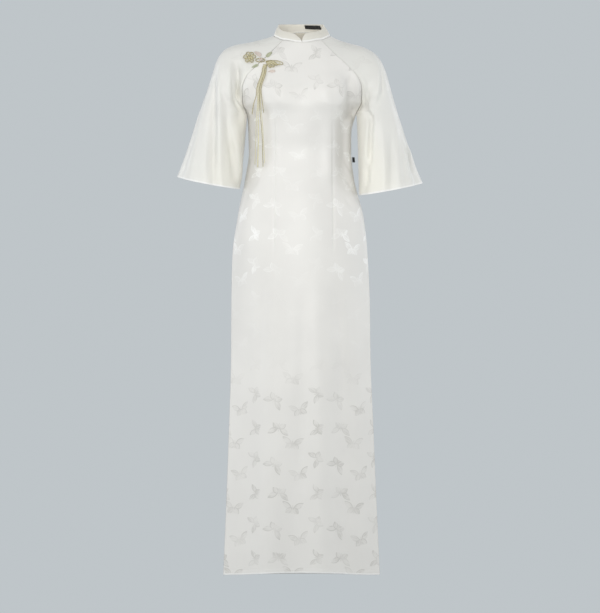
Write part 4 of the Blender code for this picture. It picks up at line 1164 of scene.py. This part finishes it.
neckLabel = {
    "fromX": 0.0490, "toX": 0.0075, "low": 0.46, "high": 0.92, "thick": 0.0008, "columns": 31, "rows": 9,
    "measuredAt": 0.7,  # how far up the collar its x is measured
    "stepRound": 0.01, "stepUp": 0.05,  # how far apart the places are that show which way is inwards
}
sideTag = {
    "station": 9.28, "stationsHigh": 0.2, "rows": 13, "out": 0.0060, "thick": 0.0012, "clear": 0.0016,
    "wall": 0.00045,
    # the folded tape seen from below: how far out, and how far front or back
    "outline": ((0, 0.5), (0.45, 0.5), (0.8, 0.44), (0.95, 0.26), (1, 0),
                (0.95, -0.26), (0.8, -0.44), (0.45, -0.5), (0, -0.5)),
}


def collarInside(share, up, inset):
    stepRound, stepUp = neckLabel["stepRound"], neckLabel["stepUp"]
    along = collarPoint(share + stepRound, up) - collarPoint(share - stepRound, up)
    upwards = collarPoint(share, min(up + stepUp, 1)) - collarPoint(share, up - stepUp)
    inwards = np.cross(upwards, along)
    return collarPoint(share, up) + inwards / np.linalg.norm(inwards) * inset


def shareAt(x):  # how far round the collar its left back half passes this x
    low, high = 0.25, 0.5
    for _ in range(20):
        middle = (low + high) / 2
        passed = collarPoint(middle, neckLabel["measuredAt"])[0] > x
        low, high = (middle, high) if passed else (low, middle)
    return low


def makeNeckLabel():
    look = neckLabel
    shares = np.linspace(shareAt(look["fromX"]), shareAt(look["toX"]), look["columns"])
    ups = np.linspace(look["high"], look["low"], look["rows"])
    inset = collarLook["wall"] + clothLook["seamGap"]
    grid = np.array([[collarInside(share, up, inset) for share in shares] for up in ups])
    mesh = clothMesh("neckLabel", grid, edgeMaps(grid))
    piece = addPiece("neckLabel", mesh, finishes["black"], "neck_label")
    addThickness(piece, look["thick"])
    return piece


def makeSideTag():  # a small folded tape: its fold stands out from the seam
    look = sideTag
    half = look["stationsHigh"] / 2
    stations = np.linspace(look["station"] - half, look["station"] + half, look["rows"])
    seams = [panelRow(frontCut, station, np.array((1.0,)))[0] for station in stations]
    grid = np.array([[(seam[0] + look["clear"] + u * look["out"], v * look["thick"], seam[2])
                      for u, v in look["outline"]] for seam in seams])
    mesh = clothMesh("sideTag", grid, edgeMaps(grid))
    piece = addPiece("sideTag", mesh, finishes["black"], "side_tag")
    addThickness(piece, look["wall"])


labelPiece = makeNeckLabel()
makeSideTag()
print("labels made")


def gridTree(grid):
    rows, columns = grid.shape[:2]
    points = [Vector(point) for point in grid.reshape(-1, 3)]
    starts = [r * columns + c for r in range(rows - 1) for c in range(columns - 1)]
    faces = [(s, s + columns, s + columns + 1, s + 1) for s in starts]
    return BVHTree.FromPolygons(points, faces)


clothTrees = [gridTree(frontGrid), gridTree(rightGrid[:, : rightGrid.shape[1] // 2 + 1])]
beyondGap = (0, 0.0006, -0.0006, 0.0012, -0.0012)  # looks a little aside where a seam's gap is met
facingReach = 0.004


def clothAt(x, z):  # the frontmost cloth at this x and z, and which way it faces
    for aside in beyondGap:
        start = Vector((x + aside, -1, z))
        hits = [tree.ray_cast(start, Vector((0, 1, 0)))[:2] for tree in clothTrees]
        hits = [hit for hit in hits if hit[0]]
        if hits:
            point, normal = min(hits, key=lambda hit: hit[0].y)
            return Vector((x, point.y, point.z)), (normal if normal.y < 0 else -normal)
    raise ValueError(f"no cloth at {x:.4f}, {z:.4f}")


def clothFacing(x, z):
    reach = facingReach
    spots = ((0, 0), (reach, 0), (-reach, 0), (0, reach), (0, -reach))
    return sum((clothAt(x + dx, z + dz)[1] for dx, dz in spots), Vector()).normalized()


def clothOver(x, z, lift):
    return clothAt(x, z)[0] + clothFacing(x, z) * lift


def fairMesh(mesh):  # every face turned outwards, then smooth shading
    built = bmesh.new()
    built.from_mesh(mesh)
    bmesh.ops.recalc_face_normals(built, faces=built.faces)
    built.to_mesh(mesh)
    built.free()
    mesh.shade_smooth()


class Bundle:  # tubes of cord and ribbon gathered into one mesh
    def __init__(self):
        self.verts, self.faces, self.uvs, self.slots = [], [], [], []

    def tube(self, path, ups, radius, sides=8, closed=False, flat=1.0, plies=2, pitch=0.0036, twist=0.10,
             taper=0.0, slot=0):
        count, first = len(path), len(self.verts)
        run, runs = 0.0, []
        for i, point in enumerate(path):
            before = path[i - 1] if i or closed else path[i]
            after = path[(i + 1) % count] if i < count - 1 or closed else path[i]
            along = (after - before).normalized()
            up = (ups[i] - along * ups[i].dot(along)).normalized()
            beside = along.cross(up)
            if i:
                run += (point - path[i - 1]).length
            runs.append(run)
            size = radius * (1 - taper * i / max(count - 1, 1))
            tall = size if flat == 1.0 else radius * flat
            for k in range(sides):
                angle = 2 * math.pi * k / sides
                swell = 1 + twist * math.cos(plies * angle - 2 * math.pi * run / pitch)
                self.verts.append(point + beside * (math.cos(angle) * size * swell)
                                  + up * (math.sin(angle) * tall * swell))
        if closed:
            runs.append(run + (path[0] - path[-1]).length)
        for i in range(count if closed else count - 1):
            here, there = first + i * sides, first + (i + 1) % count * sides
            for k in range(sides):
                m = (k + 1) % sides
                low, high = k / sides, (k + 1) / sides
                self.faces.append([here + k, here + m, there + m, there + k])
                self.uvs += [(low, runs[i]), (high, runs[i]), (high, runs[i + 1]), (low, runs[i + 1])]
                self.slots.append(slot)
        if not closed:
            for ring, atEnd in ((first, False), (first + (count - 1) * sides, True)):
                face = list(range(ring, ring + sides))
                self.faces.append(face if atEnd else face[::-1])
                self.uvs += [(0.5, 0)] * sides
                self.slots.append(slot)

    def make(self, name, materials, node):
        mesh = bpy.data.meshes.new(name)
        mesh.from_pydata([tuple(v) for v in self.verts], [], self.faces)
        layer = mesh.uv_layers.new(name="clothUv")
        layer.data.foreach_set("uv", np.array(self.uvs, dtype=np.float32).ravel())
        mesh.polygons.foreach_set("material_index", self.slots)
        fairMesh(mesh)
        piece = addPiece(name, mesh, finishes[materials[0]], node)
        for extra in materials[1:]:
            piece.data.materials.append(finishes[extra])
        return piece


cordLook = {"points": 44, "narrow": 0.45, "riseOver": 0.9}  # narrow: a loop's width at its start


def layLoop(bundle, look, loop, wideShare, longShare, start=0.0, slot=0):  # cord laid on the cloth
    turn, length, halfWidth, rise = loop
    length, halfWidth, narrow = length * longShare, halfWidth * wideShare, cordLook["narrow"]
    path, ups = [], []
    for place in circle(cordLook["points"]):
        out = (1 - math.cos(place)) / 2
        along = start + (length - start) * out
        aside = halfWidth * math.sin(place) * (narrow + (1 - narrow) * out)
        x, z = turned(look["x"], look["z"], along, aside, math.radians(turn))
        lifted = rise * math.sin(math.pi * min(along / length * cordLook["riseOver"], 1))
        path.append(clothOver(x, z, look["lift"] + lifted))
        ups.append(clothFacing(x, z))
    bundle.tube(path, ups, look["cord"], closed=True, slot=slot)


frogFlower = {
    "x": -0.1300, "z": -0.0540, "cord": 0.00100, "lift": 0.0014, "nested": ((1.0, 0), (0.68, 1), (0.38, 0)),
    # turn, length, half width, rise of each petal's loop
    "petals": (
        (8, 0.0150, 0.0054, 0.0030),
        (58, 0.0142, 0.0056, 0.0026),
        (118, 0.0144, 0.0054, 0.0028),
        (174, 0.0156, 0.0058, 0.0026),
        (232, 0.0142, 0.0056, 0.0030),
        (302, 0.0138, 0.0054, 0.0026),
    ),
    "heart": {
        "rings": 3, "radius": 0.0034, "smaller": 0.0011, "lift": 0.0036, "higher": 0.0009, "points": 24,
    },
}


def makeFrogFlower():
    look, heart, bundle = frogFlower, frogFlower["heart"], Bundle()
    for petal in look["petals"]:
        for share, slot in look["nested"]:
            layLoop(bundle, look, petal, share, share, slot=slot)
    middle = clothFacing(look["x"], look["z"])
    for ring in range(heart["rings"]):  # the wound heart of the flower
        radius = heart["radius"] - heart["smaller"] * ring
        lift = heart["lift"] + heart["higher"] * ring
        path = [clothOver(look["x"] + radius * math.cos(a), look["z"] + radius * math.sin(a), lift)
                for a in circle(heart["points"])]
        bundle.tube(path, [middle] * len(path), look["cord"], closed=True, slot=ring % 2)
    bundle.make("frogFlower", ("gold", "paleGold"), "frog_flower")


frogFan = {
    "x": -0.0896, "z": -0.0635, "cord": 0.00085, "lift": 0.0014, "nested": ((1.0, 0), (0.62, 1)),
    "nestedStart": 0.75, "nestedFar": 0.6,
    # turn, length, half width, rise of each loop of the fan
    "loops": (
        (-9, 0.0425, 0.0060, 0.0022),
        (-19, 0.0300, 0.0050, 0.0034),
        (-35, 0.0250, 0.0046, 0.0032),
        (-52, 0.0205, 0.0036, 0.0026),
    ),
}


def makeFrogFan():
    look, bundle = frogFan, Bundle()
    for loop in look["loops"]:
        for share, slot in look["nested"]:
            start = loop[1] * (1 - share) * look["nestedStart"]
            longShare = share + (1 - share) * look["nestedFar"]
            layLoop(bundle, look, loop, share, longShare, start, slot)
    bundle.make("frogFan", ("gold", "paleGold"), "frog_fan")


frogKnot = {
    "x": -0.1016, "z": -0.0605, "radius": 0.0048, "cord": 0.0011, "lift": 0.0005, "points": 28,
    "oval": (0.96, 1, 0.28), "smallerSlot": 0.95,
    # turn, tilt, size of each round of cord
    "rounds": ((0, 0, 1), (0, 60, 1), (0, 120, 1), (70, 90, 0.9), (20, 30, 0.8), (20, 150, 0.8)),
}
frogLoop = {"fromX": -0.1150, "toX": -0.0922, "halfWidth": 0.0044, "cord": 0.0011, "points": 48}


def makeFrogKnot():  # a ball of wound cord, in the loop that it is pushed through
    look, bundle = frogKnot, Bundle()
    facing = clothFacing(look["x"], look["z"])
    middle = clothOver(look["x"], look["z"], look["radius"] + look["lift"])
    radius = look["radius"] - look["cord"]
    wide, deep, high = look["oval"]
    for turn, tilt, shrink in look["rounds"]:
        spin = Matrix.Rotation(math.radians(tilt), 3, facing) @ Matrix.Rotation(math.radians(turn), 3, "Z")
        ring = [Vector((math.cos(a) * wide, math.sin(a) * deep, math.cos(a) * high))
                for a in circle(look["points"])]
        path = [middle + spin @ (point * radius * shrink) for point in ring]
        ups = [(point - middle).normalized() for point in path]
        bundle.tube(path, ups, look["cord"], closed=True, slot=int(shrink < look["smallerSlot"]))
    bundle.make("frogKnot", ("knotCord", "petal"), "frog_knot")


def makeFrogLoop():
    look, bundle = frogLoop, Bundle()
    middleX, half = (look["fromX"] + look["toX"]) / 2, (look["toX"] - look["fromX"]) / 2
    path, ups = [], []
    for a in circle(look["points"]):
        x, z = middleX + half * math.cos(a), frogKnot["z"] + look["halfWidth"] * math.sin(a)
        path.append(clothOver(x, z, look["cord"] + frogKnot["lift"]))
        ups.append(clothFacing(x, z))
    bundle.tube(path, ups, look["cord"], closed=True)
    bundle.make("frogLoop", ("gold",), "frog_loop")


frogLeaves = {
    # middle x, middle z, the way it points, half length, half width, rise, finish, node
    "leafUpper": (-0.0820, -0.0455, 40, 0.0098, 0.0044, 0.0020, "leaf", "frog_leaf_upper"),
    "leafLower": (-0.1170, -0.0748, 203, 0.0092, 0.0034, 0.0020, "leaf", "frog_leaf_lower"),
    "petalUpper": (-0.1100, -0.0436, 150, 0.0100, 0.0048, 0.0018, "petal", "frog_petal_upper"),
    "petalLower": (-0.0755, -0.0880, 184, 0.0090, 0.0036, 0.0018, "petal", "frog_petal_lower"),
}
leafLook = {
    "rings": 8, "points": 32, "pointed": 0.35, "lift": 0.0005, "underShare": 0.96, "underLift": -0.0002,
    "midrib": {"depth": 0.35, "halfWidth": 0.0009, "ends": 0.9, "ending": 5},
}


def makeLeaf(name, x, z, turn, halfLength, halfWidth, rise, finish, node):
    look, midrib = leafLook, leafLook["midrib"]
    rings, count = look["rings"], look["points"]
    verts, uvs, faces = [], [], []

    def place(share, angle, height):
        along = halfLength * share * math.cos(angle)
        out = halfWidth * share * math.sin(angle) * (1 - look["pointed"] * math.cos(angle))
        px, pz = turned(x, z, along, out, math.radians(turn))
        groove = midrib["depth"] * bump(out, midrib["halfWidth"])
        groove *= ease((midrib["ends"] - share) * midrib["ending"])
        verts.append(clothOver(px, pz, look["lift"] + height * (1 - groove)))
        uvs.append((along, out))

    for ring in range(rings):
        share = 1 - ring / rings
        height = rise * math.sqrt(max(1 - share**2, 0)) if ring else 0.0
        for k in range(count):
            place(share, 2 * math.pi * k / count, height)
    place(0, 0, rise)
    under = len(verts)
    for k in range(count):
        place(look["underShare"], 2 * math.pi * k / count, look["underLift"])
    place(0, 0, look["underLift"])
    for ring in range(rings - 1):
        here, inner = ring * count, (ring + 1) * count
        for k in range(count):
            m = (k + 1) % count
            faces.append((here + k, here + m, inner + m, inner + k))
    last, top, foot = (rings - 1) * count, rings * count, under + count
    for k in range(count):
        m = (k + 1) % count
        faces.append((last + k, last + m, top))
        faces.append((k, under + k, under + m, m))
        faces.append((under + m, under + k, foot))
    mesh = bpy.data.meshes.new(name)
    mesh.from_pydata([tuple(v) for v in verts], [], faces)
    layer = mesh.uv_layers.new(name="clothUv")
    for loop in mesh.loops:
        layer.data[loop.index].uv = uvs[loop.vertex_index]
    fairMesh(mesh)
    addPiece(name, mesh, finishes[finish], node)


frogTails = {
    "headX": -0.0940, "top": -0.0710, "bottom": -0.0820, "lift": 0.0009, "thick": 0.0014, "lean": 0.10,
    "spreadZ": -0.1350, "step": 0.0035, "gap": 0.0004, "squeeze": 0.62, "headLean": 0.25, "waves": 9,
    "waveStart": 4, "near": 0.004, "sides": 12, "pitch": 0.006, "twist": 0.05,
    # width at the head, width at the end, x where they part, x at the end, end z, wave, finish slot
    "strands": (
        (0.0014, 0.0020, -0.1128, -0.1245, -0.1950, 0.0006, 0),
        (0.0013, 0.0016, -0.1108, -0.1170, -0.3200, 0.0006, 1),
        (0.0022, 0.0042, -0.1084, -0.1098, -0.3270, 0.0006, 1),
        (0.0017, 0.0017, -0.1059, -0.0968, -0.3260, 0.0007, 0),
        (0.0013, 0.0016, -0.1039, -0.0934, -0.3170, 0.0006, 1),
        (0.0014, 0.0014, -0.1019, -0.0962, -0.1910, 0.0004, 0),
    ),
    # z and half width of each round of the binding
    "binding": ((-0.0725, 0.0040), (-0.0745, 0.0043), (-0.0767, 0.0045)),
    "bindingDeep": 0.0016, "bindingCord": 0.0008, "bindingPoints": 24,
}


def strandX(z, headX, partedX, endX, endZ, wave, number):  # the head, then the spread, then the fall
    look = frogTails
    if z > look["bottom"]:
        squeeze = look["squeeze"]
        squeeze += (1 - squeeze) * (look["top"] - z) / (look["top"] - look["bottom"])
        return look["headX"] + (headX - look["headX"]) * squeeze + (z - look["bottom"]) * look["headLean"]
    if z > look["spreadZ"]:
        spread = ease((z - look["bottom"]) / (look["spreadZ"] - look["bottom"]))
        return headX + (partedX - headX) * spread
    fall = (z - look["spreadZ"]) / (endZ - look["spreadZ"])
    waved = wave * math.sin(look["waves"] * fall + number) * ease(fall * look["waveStart"])
    return partedX + (endX - partedX) * ease(fall) + waved


def layStrand(bundle, number, headX, strand):
    look = frogTails
    width, endWidth, partedX, endX, endZ, wave, slot = strand
    count = int((look["top"] - endZ) / look["step"])
    steps = (-1, 0, 1)
    path, ups = [], []
    for z in np.linspace(look["top"], endZ, count + 1):
        x = strandX(z, headX, partedX, endX, endZ, wave, number)
        size = width + (endWidth - width) * max((z - look["bottom"]) / (endZ - look["bottom"]), 0)
        under = min(clothAt(x + dx * size / 2, z + dz * look["near"])[0].y for dx in steps for dz in steps)
        point = Vector((x, under - look["lift"] - look["thick"] / 2, z))
        if path:
            point.y = min(point.y, path[-1].y + look["lean"] * (path[-1].z - z))
        path.append(point)
        ups.append(clothFacing(x, z))
    bundle.tube(path, ups, width / 2, sides=look["sides"], flat=look["thick"] / width, pitch=look["pitch"],
                twist=look["twist"], taper=1 - endWidth / width, slot=slot)


def makeFrogTails():
    look, bundle = frogTails, Bundle()
    widths = [strand[0] for strand in look["strands"]]
    start = -(sum(widths) + look["gap"] * (len(widths) - 1)) / 2
    for number, strand in enumerate(look["strands"]):
        layStrand(bundle, number, look["headX"] + start + strand[0] / 2, strand)
        start += strand[0] + look["gap"]
    for ring, (z, half) in enumerate(look["binding"]):
        x = look["headX"] + (z - look["bottom"]) * look["headLean"]
        facing = clothFacing(x, z)
        middle = clothOver(x, z, look["lift"] + look["thick"] / 2)
        path = [middle + Vector((half * math.cos(a), 0, 0)) + facing * (look["bindingDeep"] * math.sin(a))
                for a in circle(look["bindingPoints"])]
        ups = [(point - middle).normalized() for point in path]
        bundle.tube(path, ups, look["bindingCord"], closed=True, slot=ring % 2)
    return bundle.make("frogTails", ("gold", "paleGold"), "frog_tails")


makeFrogFlower()
makeFrogFan()
makeFrogKnot()
makeFrogLoop()
for leafName, leafRow in frogLeaves.items():
    makeLeaf(leafName, *leafRow)
tailsPiece = makeFrogTails()
print("frog made")


def oneLayer(grid):
    down, side = np.diff(grid, axis=0)[:, :-1], np.diff(grid, axis=1)[:-1]
    return float(np.linalg.norm(np.cross(down, side), axis=2).sum())


for piece, grid in ((frontPiece, frontGrid), (backPiece, backGrid),
                    (leftSleeve, leftGrid), (rightSleeve, rightGrid)):
    print("cloth area", piece.name, round(oneLayer(grid), 4))

studio = {
    "backdrop": (0.521, 0.561, 0.584), "fill": 0.46, "fillColour": (0.95, 0.98, 1.0),
    "floor": {"z": -1.75, "radius": 9.0, "sides": 96, "rough": 0.9, "colour": (0.56, 0.585, 0.60, 1)},
    # a small lamp in the neck, so that the collar's inside isn't black
    "neckGlow": {"place": (0.0, -0.004, -0.045), "radius": 0.03, "power": 0.09, "colour": (1.0, 0.97, 0.9)},
    # place, what it faces, width, height, power, colour
    "lights": (
        ((0.0, -2.0, -0.30), (0.0, 0.0, -0.35), 0.9, 0.7, 16.6, (1.0, 0.99, 0.972)),
        ((-1.5, -2.0, 0.3), (0.0, 0.0, -0.35), 1.2, 1.2, 5.5, (1.0, 0.99, 0.975)),
        ((-2.2, -0.6, -0.3), (0.0, 0.0, -0.5), 0.8, 1.6, 10.0, (0.97, 0.985, 1.0)),
        ((2.2, 0.15, -0.3), (0.0, 0.0, -0.5), 0.8, 1.6, 9.0, (0.97, 0.985, 1.0)),
        ((2.2, -0.6, -0.3), (0.0, 0.0, -0.5), 0.8, 1.6, 2.5, (0.97, 0.985, 1.0)),
        ((0.0, -1.0, 1.6), (0.0, 0.0, -0.3), 1.2, 1.0, 6.5, (1.0, 1.0, 1.0)),
        ((-1.8, 1.5, 0.1), (0.0, 0.0, -0.4), 0.8, 1.6, 8.0, (0.97, 0.985, 1.0)),
        ((1.8, 1.5, 0.1), (0.0, 0.0, -0.4), 0.8, 1.6, 8.8, (0.97, 0.985, 1.0)),
    ),
}
framing = {"distance": 25.0, "x": -0.005, "z": -0.674, "tall": 1.5325, "sensor": 36}


def addLamp(name, kind, place, power, colour):
    light = bpy.data.lights.new(name, kind)
    light.energy, light.color = power, colour
    lamp = bpy.data.objects.new(name, light)
    lamp.location = place
    lamp.visible_camera = False
    bpy.context.scene.collection.objects.link(lamp)
    return light, lamp


def makeWorld():  # the backdrop is seen by the camera, the fill lights the cloth
    bpy.context.scene.view_settings.view_transform = "Standard"
    world = bpy.data.worlds.new("studio")
    bpy.context.scene.world = world
    world.use_nodes = True
    tree = world.node_tree
    tree.nodes.clear()
    seen = wire(tree, "ShaderNodeBackground", {"Color": (*studio["backdrop"], 1), "Strength": 1.0}).outputs[0]
    inputs = {"Color": (*studio["fillColour"], 1), "Strength": studio["fill"]}
    cast = wire(tree, "ShaderNodeBackground", inputs).outputs[0]
    toCamera = wire(tree, "ShaderNodeLightPath").outputs["Is Camera Ray"]
    both = wire(tree, "ShaderNodeMixShader", {0: toCamera, 1: cast, 2: seen}).outputs[0]
    wire(tree, "ShaderNodeOutputWorld", {"Surface": both})


def makeLamps():
    for number, (place, target, width, height, power, colour) in enumerate(studio["lights"]):
        light, lamp = addLamp(f"softbox{number}", "AREA", place, power, colour)
        light.shape, light.size, light.size_y = "RECTANGLE", width, height
        lamp.rotation_euler = (Vector(target) - Vector(place)).to_track_quat("-Z", "Y").to_euler()
    glow = studio["neckGlow"]
    light, _ = addLamp("neckGlow", "POINT", glow["place"], glow["power"], glow["colour"])
    light.shadow_soft_size = glow["radius"]


def makeFloor():
    look = studio["floor"]
    disc = bmesh.new()
    bmesh.ops.create_circle(disc, cap_ends=True, segments=look["sides"], radius=look["radius"])
    mesh = bpy.data.meshes.new("floor")
    disc.to_mesh(mesh)
    disc.free()
    floor = bpy.data.objects.new("floor", mesh)
    floor.location.z = look["z"]
    pale, _, shader = startMaterial("paleFloor", look["rough"])
    shader.inputs["Base Color"].default_value = look["colour"]
    mesh.materials.append(pale)
    bpy.context.scene.collection.objects.link(floor)


def makeCamera():
    camera = bpy.data.cameras.new("camera")
    camera.sensor_fit, camera.sensor_width = "AUTO", framing["sensor"]
    camera.lens = camera.sensor_width * framing["distance"] / framing["tall"]
    holder = bpy.data.objects.new("camera", camera)
    holder.location = (framing["x"], -framing["distance"], framing["z"])
    holder.rotation_euler = (math.pi / 2, 0, 0)
    bpy.context.scene.collection.objects.link(holder)
    bpy.context.scene.camera = holder


makeWorld()
makeLamps()
makeFloor()
makeCamera()
print("studio made")
